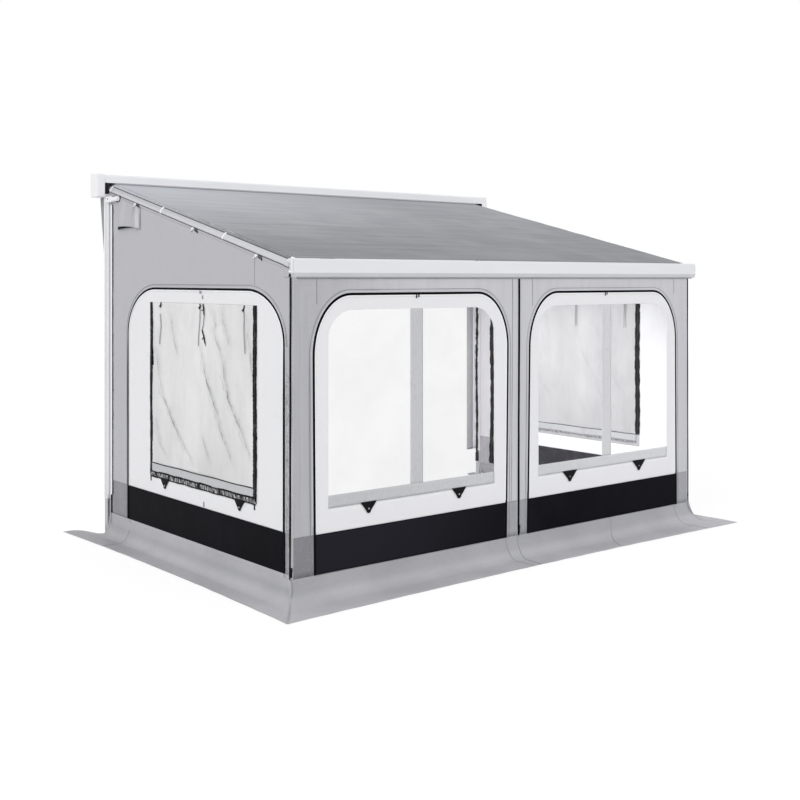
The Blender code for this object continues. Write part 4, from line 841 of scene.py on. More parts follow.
def ragged(line, wall, width, out, seed, rough=0.3):
    """A strip along a line whose two edges are frayed: noise of that share of its width."""
    count, across = len(line), np.array([-0.5, -0.42, 0, 0.42, 0.5])
    swell = np.sin(np.linspace(0, count * 0.35, count))
    left, right = (np.random.default_rng(seed).normal(0, 1, (count, 2)) * 0.5).T + swell * 0.4
    offsets = width * (1 + rough * at(left, 0.6 * left, 0, 0.6 * right, right) * 0.5) * across
    step = np.gradient(line, axis=0)
    step /= np.linalg.norm(step, axis=1, keepdims=True)
    points = line[:, None] + offsets[..., None] * at(-step[:, 1], step[:, 0])[:, None]
    places = stood(points, wall, out + 0.0008 * np.cos(across * 6))
    return places, at(run_of(line)[:, None], offsets)


def disc(centre, normal, radius, thick, sides=16):
    """Rings of a domed button: its radius shrinks as it rises."""
    side = np.cross(normal, (0.3, 0.2, 1.0))
    side /= np.linalg.norm(side)
    turn = (np.arange(sides) / sides * math.tau)[:, None]
    circle = np.cos(turn) * side + np.sin(turn) * np.cross(normal, side)
    lift = np.array([0, 0.6, 0.85, 1.0])[:, None, None] * thick
    size = np.array([1.0, 1.0, 0.85, 0.35])[:, None, None] * radius
    cloth = at(np.linspace(0, math.tau * radius, sides + 1), lift[:, 0])
    return centre + size * circle + lift * np.array(normal), cloth, True


def block(near, far, cut=0.002):
    """A box between two corners as one closed tube along Y, its long edges cut off."""
    near, far = np.minimum(near, far), np.maximum(near, far)
    (x, _, z), (w, _, h) = (near + far) / 2, (far - near) / 2
    profile = np.array([(-w + cut, -h), (w - cut, -h), (w, -h + cut), (w, h - cut),
                        (w - cut, h), (-w + cut, h), (-w, h - cut), (-w, -h + cut)])
    return tube(at(x, np.linspace(near[1], far[1], 4), z), profile, (0, 0, 1))


def piece(name, patches, look, body="root", thick=0.0, node=None, outwards=None):
    """One object from patches, with its finish, riding on a body and in place of its node.

    A patch is (places, cloth), or (places, cloth, True) to close its first and last rows with a
    face: grids of places and of metres in the cloth. Where cloth has one more column than
    places, the surface closes on itself. Thick gives an open sheet its thickness; what has none
    is turned with its faces outwards.
    """
    places, loops, totals, cloth_places, count = [], [], [], [], 0
    for grid, cloth, *capped in patches:
        rows, columns = grid.shape[:2]
        index = count + np.arange(rows * columns).reshape(rows, columns)
        count += rows * columns
        places.append(grid.reshape(-1, 3))
        if cloth.shape[1] > columns:
            index = joined(index)
        for source, store in ((index[..., None], loops), (cloth, cloth_places)):
            store.append(np.stack([source[:-1, :-1], source[1:, :-1], source[1:, 1:],
                                   source[:-1, 1:]], axis=2).reshape(-1, source.shape[2]))
        totals += [4] * ((index.shape[0] - 1) * (index.shape[1] - 1))
        if capped:
            loops += [index[0, :-1, None], index[-1, :-1][::-1, None]]
            cloth_places += [cloth[0, :-1], cloth[-1, :-1][::-1]]
            totals += [columns, columns]
    mesh = bpy.data.meshes.new(name)
    mesh.vertices.add(count)
    mesh.vertices.foreach_set("co", np.concatenate(places).ravel())
    mesh.loops.add(sum(totals))
    mesh.loops.foreach_set("vertex_index", np.concatenate(loops).ravel())
    mesh.polygons.add(len(totals))
    mesh.polygons.foreach_set("loop_start", np.cumsum([0, *totals[:-1]]))
    mesh.polygons.foreach_set("loop_total", totals)
    mesh.polygons.foreach_set("use_smooth", np.full(len(totals), True))
    mesh.uv_layers.new(name="Cloth").uv.foreach_set("vector", np.concatenate(cloth_places).ravel())
    mesh.update(calc_edges=True)
    mesh.validate()
    if outwards or not thick:
        shape = bmesh.new()
        shape.from_mesh(mesh)
        bmesh.ops.recalc_face_normals(shape, faces=shape.faces)
        shape.to_mesh(mesh)
        shape.free()
    mesh.set_sharp_from_angle(angle=math.radians(50))
    mesh.materials.append(material(look))
    made = bpy.data.objects.new(name, mesh)
    bpy.context.scene.collection.objects.link(made)
    if thick:
        shell = made.modifiers.new("Thickness", "SOLIDIFY")
        shell.thickness, shell.offset = thick, 0
    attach(made, body)
    if node:
        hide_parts(node)
    return made


def keep_crease(made, values):
    """Stores a value for each point of a cloth, which its finish reads as crease for painted light
    and shade.
    """
    store = made.data.attributes.new("crease", "FLOAT", "POINT")
    store.data.foreach_set("value", values.astype(np.float32).ravel())


# Roof and rafters

class AWNING_OT_roof(bpy.types.Operator):
    """The roof cloth from the rail to its roll, and the hem along the cassette's slot"""
    bl_idname = "awning.roof"
    bl_label = "Roof cloth"

    def execute(self, context):
        size = sizes()
        x, y = np.meshgrid(np.linspace(ROOF_LOW[0], ROOF_HIGH[0], 150),
                           np.linspace(ROOF_LOW[1], ROOF_HIGH[1] + 0.004, 110))
        free = np.sin(math.pi * (y - y[0, 0]) / (y[-1, 0] - y[0, 0]))
        hang = size.roof_sag * free * np.cos(x / ROOF_HIGH[0] * math.pi / 2) ** 0.5
        wave = 0.0011 * free * ripple(at(x, y / math.cos(SLOPE)) * (0.45, 2.2), 3)
        run = (y - y[0, 0]) / math.cos(SLOPE)
        patch = at(x, y, roof_height(y) - hang + wave), at(x, run)
        roof = piece("awning_roof", [patch], "roof", thick=size.cloth,
                     node="roof_cloth")
        lip_y = HOUSING_Y - 0.0012
        lip = at(np.linspace(-ROOF_HIGH[0], ROOF_HIGH[0], 60), lip_y,
                 roof_height(lip_y) + 0.0075)
        binding = piece("roof_lip", [tube(lip, flat_profile(0.013, 0.0030), (0, -1, 0.3))],
                        "hem")
        return {"FINISHED"}


class AWNING_OT_roll(bpy.types.Operator):
    """The roof's roll in the cassette: three turns of cloth round its tube, and two spindles"""
    bl_idname = "awning.roll"
    bl_label = "Roll in the cassette"

    def execute(self, context):
        a, b = low("roller_tube"), high("roller_tube")
        (_, y, z), radius = (a + b) / 2, (b[1] - a[1]) / 2
        turn = np.linspace(0, 3 * math.tau, 145)[:-1, None]
        spiral = radius - 0.0045 + 0.0015 * turn / math.tau
        reach = ROOF_HIGH[0] - 0.008
        x = np.linspace(-reach, reach, 60)
        places = at(x, y + spiral * np.cos(turn), z + spiral * np.sin(turn))
        roll = piece("roof_roll", [(places, at(x, spiral * turn))], "roof",
                     "roller", 0.001, outwards=True)
        tubes = [tube(at(np.linspace(start, stop, 12), y, z), round_profile(wide, sides),
                      (0, 0, 1))
                 for start, stop, wide, sides in ((a[0], b[0], 0.010, 16),
                                                  (-reach, reach, radius - 0.0055, 32))]
        piece("roll_tube", tubes, "metal", "roller", node="roller_tube")
        return {"FINISHED"}


WEB_TURN = math.radians(52)        # of the line where the web leaves the sleeve
RING_PLACES = (-0.4713, 0.4274, HOUSING_Y - 0.010)
CLIP_PLACES = (0.833, -0.065, -0.908)


class AWNING_OT_rafters(bpy.types.Operator):
    """The rafters: cloth sleeves with their webs to the roof, moulded rings, and wall clips"""
    bl_idname = "awning.rafters"
    bl_label = "Rafters"

    def execute(self, context):
        size = sizes()
        rings, clips, straps, webs, hems, cuffs, edges = ([] for _ in range(7))
        radius, share = RAFTER_RADIUS - 0.0008, np.linspace(0, 1, 5)
        for side, sign in SIDES.items():
            out, x = (sign, 0, 0), sign * (HALF_LENGTH - 0.0262)
            y = np.linspace(low(f"rafter_{side}")[1] + 0.001, high(f"rafter_{side}")[1] - 0.001, 90)
            line = at(x, y, rafter_height(y))
            grid, cloth, _ = tube(line, round_profile(radius, 28), out)
            run, line = cloth[:, :-1, :1], line[:, None]
            pucker = 1 + 0.0006 * np.sin(run * 61) * np.sin(run * 7.3) / RAFTER_RADIUS
            cloth[..., 1] = np.linspace(0, math.tau * RAFTER_RADIUS, 29)
            piece(f"rafter_sleeve_{side}", [(line + (grid - line) * pucker, cloth, True)],
                  "sleeve", node=f"rafter_{side}")

            y = y[:, None]
            level = rafter_height(y)
            touch = radius * at(math.cos(WEB_TURN), math.sin(WEB_TURN))
            edge = np.array([ROOF_HIGH[0] + 0.001 - abs(x), 0.0505])
            for start, stop, store in ((0, 0.46, webs), (0.46, 1, hems)):
                part = np.linspace(start, stop, 5)
                wide, high_up = touch[:, None] * (1 - part) + edge[:, None] * part
                bow = -0.0012 * np.sin(math.pi * part) * (1 + 0.5 * np.sin(y * 23))
                grid = at(x + sign * (wide + bow), y, level + high_up)
                across = np.abs(grid[..., 0]) if store is hems else 0.06 * part
                store.append((grid, at(sign * across, y / math.cos(SLOPE) + 1.35)))
                if store is webs:
                    # A dark cord along the roof's edge: a keder in part, and a painted shadow line
                    # where roof and sleeve meet.
                    edges.append(tube(grid[:, -1] + (sign * 0.0004, 0, 0.0005),
                                      round_profile(0.0046), out))
            cuffs.append((at(sign * (HALF_LENGTH - 0.0005 - 0.0045 * share), y,
                             level - 0.0290 + 0.0190 * share), at(y, 0.02 * share)))
            # A dark cord under the sleeve: a seam in part, and a painted shadow line under the
            # sleeve.
            under = at(sign * (HALF_LENGTH - 0.0028), y, level - 0.0098)[:, 0]
            edges.append(tube(under, round_profile(0.0034), out))

            # The ring's outline bulges upwards over the web.
            turn = np.arange(32) / 32 * math.tau
            reach = RAFTER_RADIUS + 0.0026 + 0.0115 * bell(turn - math.pi, 0.5)
            for middle in RING_PLACES:
                y = middle + np.array([-0.0062, 0.0062])
                rings.append(tube(at(x, y, rafter_height(y)),
                                  at(sign * reach * np.cos(turn), reach * np.sin(turn)), out))
            face = sign * (HALF_LENGTH + 0.005)
            for y in CLIP_PLACES:
                z = float(side_top(y)) + 0.016
                clips.append(disc((face - sign * 0.005, y + 0.002, z - 0.012), out, 0.0100, 0.012))
                hook = at(face, y + np.array([0.030, 0.014, -0.006, -0.016]),
                          z - np.array([0.024, 0.021, 0.004, 0.014]))
                clips.append(tube(hook, round_profile(0.0048), out))
                for start, reach, fall in ((-0.034, -0.006, 0.020), (-0.058, -0.010, 0.028)):
                    z = float(side_top(y + start)) + 0.014
                    strap = at(face - sign * np.array([0.005, 0, 0.004]),
                               y + start + reach * np.array([0, 0.5, 1]),
                               z + np.array([0.002, -0.008, -fall]))
                    straps.append(tube(strap, flat_profile(0.009, 0.004), out))

        # On the left the wall and the sleeve run on outside the rail's cap.
        y = np.linspace(FRONT_Y + 0.0135, low("rafter_left")[1] + 0.012, 14)[:, None]
        share, middle, foot = np.linspace(0, 1, 8), rafter_height(y) - 0.0100, RAIL_UNDER - 0.003
        for z, puff, store in ((middle + 0.0335 * share,
                                0.0034 + 0.0035 * np.sin(math.pi * share), webs),
                               (foot + (middle - foot) * share, 0.0034 * share ** 0.4, cuffs)):
            store.append((at(-(HALF_LENGTH - 0.0012 + puff), y, z), at(y, z)))
        # Its dark cord paints the shadow line under the sleeve there too.
        edges.append(tube(at(-HALF_LENGTH - 0.0036, y, middle)[:, 0], round_profile(0.0032),
                          (-1, 0, 0)))
        piece("rafter_webs", webs, "sleeve", thick=size.cloth)
        piece("roof_skirts", hems, "roof", thick=size.cloth)
        piece("rafter_cuffs", cuffs, "wall", thick=size.cloth)
        piece("rafter_piping", edges, "piping")
        piece("rafter_rings", rings, "binding")
        piece("wall_clips", clips, "plastic")
        piece("wall_clip_straps", straps, "tape")
        return {"FINISHED"}


# Walls

def front_folds(points):
    """Front wall: ripples, two soft folds on its left column, a gathered right head and middle."""
    x, z = points[..., 0], points[..., 1]
    soft = (bell(x + 1.956, 0.010) + bell(x + 1.893, 0.007)) * np.clip((z - 0.42) / 0.3, 0, 1)
    gathered = bell(x - 1.945, 0.075) * np.exp(-(2.07 - z) / 0.28)
    waves = np.sin(x * 190 + 2.4 * np.sin(z * 13)) + 0.7 * np.sin(x * 97 - z * 9)
    centre = bell(x, 0.11) * np.sin(x * 230 + np.sin(z * 6) * 2) * np.clip(1.1 - z, 0, 1)
    folds = -0.0030 * soft + 0.0030 * gathered * waves + 0.0010 * centre
    return 0.4 * sizes().ripple * ripple(points, 11) + folds


def side_folds(points):
    """Side wall: broad and fine ripples."""
    return 0.4 * sizes().ripple * (ripple(points, 5, 0.3) + 0.5 * ripple(points, 6, 0.09))


def make_wall(kind, side, rows, folds, steep):
    """A wall's cloth between its arch and its outer edge, flat along both."""
    inner, outer = arch(kind, side, 0.0002), wall_edge(kind, side)
    points, share = ring(inner, outer, rows), np.linspace(0, 1, rows)[:, None]
    lift = folds(points) * np.clip(steep * share * (1 - share), 0, 1)
    cloth = piece(f"{kind}_wall_cloth_{side}",
                  [laid(points, wall_of(kind, side), lift - CLOTH_DEPTH / 2)], "wall",
                  thick=sizes().cloth, node=f"{kind}_wall_{side}")


class AWNING_OT_front_walls(bpy.types.Operator):
    """The grey cloth of the front wall round its two arches"""
    bl_idname = "awning.front_walls"
    bl_label = "Front walls"

    def execute(self, context):
        for side in SIDES:
            make_wall("front", side, 26, front_folds, 7.2)
        return {"FINISHED"}


class AWNING_OT_side_walls(bpy.types.Operator):
    """The grey cloth of the side walls, from the skirt up to the rafters"""
    bl_idname = "awning.side_walls"
    bl_label = "Side walls"

    def execute(self, context):
        for side in SIDES:
            make_wall("side", side, 20, side_folds, 6)
        return {"FINISHED"}


# Stitched seams of each wall: (along, from, to).
SEAM_LINES = {"front": ((-1.833, 1.900, 2.0694), (0.143, 1.86, 2.0694),
                        (-0.067, 0.42, 2.0694), (1.842, 1.935, 2.0694)),
              "left": ((-0.883, 2.020, 2.200),), "right": ((-0.763, 2.020, 2.235),)}


class AWNING_OT_trim(bpy.types.Operator):
    """The trim of the walls: zips round the arches, pale tapes, stitched seams and columns"""
    bl_idname = "awning.trim"
    bl_label = "Zips and seams"

    def execute(self, context):
        zips, pipes, seams, columns, edges = ([] for _ in range(5))
        for kind, side in KINDS:
            wall, wide = wall_of(kind, side), 0.011 if kind == "front" else 0.009
            line = stood(arch(kind, side), wall, -0.0008)
            grid, cloth, _ = tube(line, flat_profile(sizes().zip_width, 0.0044), facing(wall))
            wider = np.interp(line[:, 2], (1.3, 1.9), (1.4, 0.85))[:, None, None]
            wider, line = 1.0 if kind == "front" else wider, line[:, None]
            zips.append((line + (grid - line) * wider, cloth, True))
            beside = arch(kind, side, 0.0085 + wide / 2)
            pipes.append(sewn(beside[beside[:, 1] > 0.44], wall, -0.0010, wide, 0.0026))
            seams.append(sewn(arch(kind, side, 0.030), wall, -0.0012, 0.004, 0.0020))
        for wall, lines in SEAM_LINES.items():
            for along, start, stop in lines:
                z = np.linspace(start, stop, 40)
                seams.append(sewn(at(along + 0.0012 * np.sin(z * 11), z), wall, -0.0013,
                                  0.005, 0.0018))
        piece("arch_zips", zips, "coil_zip")
        piece("arch_piping", pipes, "pale_tape")
        piece("wall_seams", seams, "seam")

        z = np.linspace(SEAM_Z, RAIL_UNDER - 0.0006, 60)
        wander = 0.35 * (0.0035 * np.sin(z * 4.1 + 0.6) + 0.0012 * np.sin(z * 17))
        piece("centre_zip_tape", [sewn(at(wander, z), "front", -0.0005, 0.0195, 0.0036)],
              "coil_zip", node="centre_zip")
        for side, sign in SIDES.items():
            corner = stood(at(sign * (HALF_LENGTH - 0.0036), z), "front",
                           -0.0036 - 0.0006 * np.sin(z * 9))
            piece(f"corner_zip_cord_{side}", [tube(corner, round_profile(0.0066, 12), (0, -1, 0))],
                  "tape", node=f"corner_zip_{side}")
            for along, wall, width, thick in (
                    (sign * (HALF_LENGTH - 0.0190), "front", 0.0085, 0.0024),
                    (sign * 0.0125, "front", 0.006, 0.0020),
                    (FRONT_Y + 0.0165, side, 0.004, 0.0034)):
                edges.append(sewn(at(along, z), wall, -0.0010, width, thick))
            rear = low(f"side_panel_{side}")[1] - 0.0185
            points = field(np.linspace(FRONT_Y + 0.0135, rear, 10),
                           np.linspace(SEAM_Z + 0.02, 1.63, 110))
            columns.append(laid(points, side, 0.0014 + 0.0008 * ripple(points, 41, 0.03)))
        piece("column_edges", edges, "pale_tape")
        piece("speckled_columns", columns, "heather", thick=0.0010)
        return {"FINISHED"}


class AWNING_OT_rear_edges(bpy.types.Operator):
    """The side walls' rear edges: keder strips, rough zips, and the draught pads inside"""
    bl_idname = "awning.rear_edges"
    bl_label = "Rear edges"

    def execute(self, context):
        keders, rough, inner_zips, pads, welts = ([] for _ in range(5))
        for side, sign in SIDES.items():
            z = np.linspace(0.335, 2.655, 150)
            keders.append(sewn(at(1.2500, z), side, 0.0006, 0.030, 0.0060))
            rough.append(ragged(at(1.2290 + 0.0008 * np.sin(z * 31), z), side, 0.0135, 0.0016,
                                51, 0.9))
            foot = at(1.2470, np.linspace(SEAM_Z + 0.006, 0.335, 30))
            rough.append(ragged(foot, side, 0.026, 0.0020, 53, 0.2))

            z = np.linspace(SEAM_Z + 0.03, 1.72, 190)
            line = at(high(f"side_panel_{side}")[1] + 0.020 + 0.006 * np.sin(z * 5.3), z)
            width = (0.050 + 0.022 * np.clip(0.42 - z, 0, 1) / 0.26
                     - 0.030 * np.clip(z - 1.56, 0, 1) / 0.16)
            places, cloth = ragged(line, side, 0.052, -CLOTH_DEPTH - 0.0012, 55, 0.55)
            centre = places[:, 2:3]
            inner_zips.append((centre + (places - centre) * width[:, None, None] / 0.052, cloth))
            z = np.linspace(SEAM_Z + 0.03, 2.30, 240)
            inner_zips.append(ragged(at(1.306 + 0.004 * np.sin(z * 6.1 + 1), z), side, 0.030,
                                     -0.0158, 57, 0.8))

            z, share = np.linspace(0.315, 2.245, 60)[:, None], np.linspace(0, 1, 10)
            for near, far, bulge, store in ((0.0430, 0.1265, 0.008, pads),
                                            (-0.005, 0.0430, 0.003, welts)):
                x = HALF_LENGTH - near - (far - near) * share
                puff = bulge * np.sin(math.pi * share) * (1 + 0.15 * np.sin(z * 9 + 1))
                store.append((at(sign * x, REAR_Y + 0.0692 - puff, z), at(z, x)))
        piece("wall_keders", keders, "plastic")
        piece("rear_zips", rough, "coarse_zip", thick=0.0014)
        piece("inner_zips", inner_zips, "coarse_zip", thick=0.0014)
        piece("draught_pads", pads, "hem", thick=0.0016)
        piece("draught_welts", welts, "binding", thick=0.0016)
        return {"FINISHED"}


# Panels and windows

def make_panel(kind, side, seed):
    """A panel's white cloth between its window and its arch, and the black band at its foot."""
    size, wall = sizes(), wall_of(kind, side)
    body, node = f"{kind}_door_{side}", f"{kind}_panel_{side}"
    foot, band_top = low(node)[2], BAND_TOP if kind == "front" else SIDE_BAND_TOP
    edge, opening = np.maximum(arch(kind, side), (-9, foot)), window(kind, side)
    edge[:, 0] += 0.0004 * np.sign(edge[:, 0].mean() - edge[:, 0])
    points = joined(ring(closed(opening), closed(edge), 16))
    share = np.linspace(0, 1, 16)[:, None]
    slack = ripple(points, seed, 0.3) + 0.4 * ripple(points, seed + 5, 0.08)
    lift = (0.35 * size.ripple * slack * 4 * share * (1 - share)
            * np.clip((points[..., 1] - band_top) / 0.05, 0, 1))
    places = stood(points, wall, lift - CLOTH_DEPTH / 2)
    panel = piece(node + "_cloth", [(places[:, :-1], points)], "panel", body,
                  size.cloth, node)
    span = edge[:, 0].min(), edge[:, 0].max()
    points = field(np.linspace(*span, 110), np.linspace(foot, band_top, 18))
    wave = (0.0007 * (1 + ripple(points, seed + 1, 0.16) / 2.5)
            * np.clip((points[..., 1] - foot) / 0.08, 0.3, 1))
    band = piece(node + "_band", [laid(points, wall, wave + 0.0010)], "band",
                 body, 0.0012)
    line = at(np.linspace(*span, 60), band_top)
    welt = piece(node + "_welt", [sewn(line, wall, 0.0012, 0.006, 0.0022)], "tape",
                 body)
    line = arch(kind, side, -0.0125)
    line = line[line[:, 1] > band_top]
    bright = piece(node + "_edging", [sewn(line, wall, -0.0008, 0.0085, 0.0034)], "binding",
                   body)


class AWNING_OT_front_panels(bpy.types.Operator):
    """The white front panels with their black splash bands"""
    bl_idname = "awning.front_panels"
    bl_label = "Front panels"

    def execute(self, context):
        for side in SIDES:
            make_panel("front", side, 21)
        return {"FINISHED"}


class AWNING_OT_side_panels(bpy.types.Operator):
    """The white side panels with their black splash bands"""
    bl_idname = "awning.side_panels"
    bl_label = "Side panels"

    def execute(self, context):
        for side in SIDES:
            make_panel("side", side, 8)
        return {"FINISHED"}


def tab_patch(middle, top, width, drop, wall, out, tip=0.019):
    """A pointed tab below a strip: its half width shrinks in a line to a half circle's, tip."""
    down, across = np.meshgrid(np.linspace(0, 1, 26), np.linspace(-1, 1, 11), indexing="ij")
    fall = drop * down
    straight = width / 2 + (tip - width / 2) * np.clip(fall / (drop - tip), 0, 1)
    past = np.clip(fall - drop + tip, 0, None) / tip
    rounded = tip * np.sqrt(np.clip(1 - past ** 2, 0.0004, 1)) + width * (fall < drop - tip)
    points = at(middle + across * np.minimum(straight, rounded), top - fall)
    return laid(points, wall, out + 0.003 * np.sin(math.pi * down) * (1 - 0.3 * across ** 2))


# Front windows: middle of the upright bar, middles of the tabs, and the tabs' width and drop.
FRONT_BARS = {"left": (-0.9945, (-1.4140, -0.6035), (0.138, 0.078)),
              "right": (0.9815, (0.5510, 1.3795), (0.168, 0.086))}


class AWNING_OT_front_windows(bpy.types.Operator):
    """Clear film in the front panels, with the grey strips and black tabs of their blinds"""
    bl_idname = "awning.front_windows"
    bl_label = "Front windows"

    def execute(self, context):
        size = sizes()
        for side in SIDES:
            body = f"front_door_{side}"
            (start, stop), (foot, top) = extent("front", "window", side)
            bar, tabs, tab_size = FRONT_BARS[side]
            edge = window("front", side)
            heart = np.array([[(start + stop) / 2, (foot + top) / 2]])
            points = joined(ring(closed(edge) * 0.02 + heart * 0.98, closed(edge), 14))
            wave = 0.0016 * ripple(points, 31, 0.35) * (1 - np.linspace(0, 1, 14)[:, None] ** 6)
            places = stood(points, "front", wave - CLOTH_DEPTH / 2)
            film = piece(f"front_window_film_{side}", [(places[:, :-1], points)], "clear_film",
                         body, size.film, f"front_window_{side}")
            strips = []
            for along, up, out, seed in (
                    (np.linspace(start, stop, 60), np.linspace(foot, foot + 0.082, 7), 0.0010, 4),
                    (np.linspace(bar - 0.056, bar + 0.056, 9), np.linspace(foot + 0.08, top, 70),
                     0.0007, 6)):
                points = field(along, up)
                strips.append(laid(points, "front", out + 0.0004 * ripple(points, seed)))
            strip = piece(f"front_window_strips_{side}", strips, "strip", body,
                          size.tape, f"front_window_tape_{side}")
            flaps = [tab_patch(middle, foot + 0.006, *tab_size, "front", 0.0028)
                     for middle in tabs]
            tab = piece(f"front_window_tabs_{side}", flaps, "tape", body, size.tape)
            eyelets = [disc(stood(at(middle, foot - 0.040), "front", 0.0050), (0, -1, 0), 0.0065,
                            0.0016) for middle in tabs]
            eyelet = piece(f"front_window_eyelets_{side}", eyelets, "metal",
                           body)
            rim = piece(f"front_window_welt_{side}",
                        [sewn(window("front", side, 0.004), "front", -0.0008, 0.009, 0.0016)],
                        "panel", body)
        return {"FINISHED"}


# Lines (Y, Z) of the left side window's creases, each from its top to its foot.
CREASES = (
    ((0.323, 1.874), (0.262, 1.758), (0.216, 1.598), (0.156, 1.484)),
    ((0.440, 1.320), (0.401, 1.195), (0.277, 1.057), (0.126, 0.890), (-0.022, 0.776),
     (-0.043, 0.722)),
    ((-0.140, 1.640), (-0.193, 1.488), (-0.263, 1.317), (-0.359, 1.185), (-0.440, 1.019),
     (-0.546, 0.880), (-0.625, 0.767)),
    ((-0.400, 1.638), (-0.467, 1.489), (-0.533, 1.247), (-0.702, 1.046), (-0.803, 0.910),
     (-0.827, 0.827)),
    ((0.512, 1.030), (0.433, 0.819), (0.308, 0.722)),
    ((-0.180, 0.960), (-0.235, 0.880), (-0.300, 0.740)),
    ((-0.318, 1.872), (-0.373, 1.740), (-0.350, 1.700), (-0.420, 1.560)),
    ((-0.770, 1.840), (-0.790, 1.700), (-0.838, 1.480), (-0.870, 1.330)),
    ((0.530, 1.560), (0.470, 1.420), (0.452, 1.300)),
    ((-0.450, 1.880), (-0.480, 1.760), (-0.560, 1.600)),
)
LONG_CREASES = (1, 2, 3)


def creasing(y, z):
    """How far the film stands out, and how grey its painted reflections are along its creases.

    Each crease is a bell curve across Y about its line, which bends with Z, and fades in and out
    along it as the sine. Beside its sharp ridge runs a broad shallow trough.
    """
    lift, grey = 0 * y, 0 * y
    for order, knots in enumerate(CREASES):
        line_y, line_z = np.array(knots)[::-1].T
        along = (z - line_z[0]) / (line_z[-1] - line_z[0])
        fade = np.where((along > 0) & (along < 1),
                        np.sin(math.pi * np.clip(along, 0, 1)) ** 0.6, 0)
        fade = fade * (1 if order in LONG_CREASES else 0.6)
        jitter = (0.004 * np.sin(z * 31 + order) + 0.0028 * np.sin(z * 83 + 2 * order)
                  + 0.0018 * np.sin(z * 151))
        off = y - np.interp(z, line_z, line_y) - jitter
        held = 0.55 + 0.45 * np.sin(z * 27 + 3 * order) * np.sin(z * 11 + order)
        sharp = bell(off, 0.007 + 0.005 * np.sin(z * 19 + order) ** 2) * fade * held
        beside = bell(off - 0.034 - jitter * 2, 0.006) * fade * (1 - held)
        lift = lift + 0.0036 * sharp - 0.0050 * fade * bell(off - 0.05, 0.045)
        grey = grey + sharp + 0.5 * beside + 0.26 * fade * bell(off + 0.020, 0.024)
    return lift, np.clip(grey, 0, 1)


# The ties of the left window: places (Y, Z) of their black clips and of their cords.
TIES = (
    (((0.410, 1.893), (0.416, 1.868), (0.417, 1.846)),
     ((0.425, 1.800), (0.413, 1.716), (0.436, 1.573))),
    (((-0.170, 1.890), (-0.172, 1.868), (-0.165, 1.842)),
     ((-0.172, 1.838), (-0.160, 1.740), (-0.144, 1.585))),
    (((-0.213, 1.893), (-0.220, 1.850), (-0.228, 1.806)),
     ((-0.228, 1.806), (-0.214, 1.740), (-0.200, 1.700))),
    (((-0.200, 1.700), (-0.224, 1.650), (-0.244, 1.605)),
     ((-0.244, 1.605), (-0.246, 1.598), (-0.247, 1.590))),
    (((-0.759, 1.882), (-0.756, 1.862), (-0.744, 1.838)),
     ((-0.756, 1.846), (-0.754, 1.740), (-0.764, 1.560))),
)
LOOPED_TIES = (0, 1, 4)            # those whose cords run double inside
INSIDE = -CLOTH_DEPTH - 0.0010     # how far in front of a wall's outer face its inner trim is


def make_ties(side, shift, top):
    """Patches of the ties' cords and clips at the head of a side window."""
    cords, clips, share = [], [], np.linspace(0, 1, 24)
    for order, (clip, cord) in enumerate(TIES):
        loops = [(clip, clips, 0.0022, 0.013, 0.0022), (cord, cords, 0.0020, 0.0085, 0.0016)]
        for offset in (0.0, 0.016) if order in LOOPED_TIES else ():
            start = cord[0][0] + offset
            loop = (start, 1.872), (start + 0.001, 1.75), (start - 0.002 + offset / 2, 1.62)
            loops.append((loop, cords, INSIDE - 0.0030, 0.0055, 0.0016))
        for knots, store, out, width, thick in loops:
            y, z = np.minimum(knots, (9, top - 0.001)).T
            line = at(np.interp(share * 2, (0, 1, 2), y), np.interp(share * 2, (0, 1, 2), z))
            line[:, 0] += shift + 0.002 * np.sin(share * 9 + y[0] * 30)
            store.append(sewn(line, side, out, width, thick))
        branch = np.array(clip[1]) + [(shift, 0), (shift + 0.026, -0.016)]
        clips.append(sewn(branch, side, 0.0024, 0.007, 0.0018))
    return cords, clips


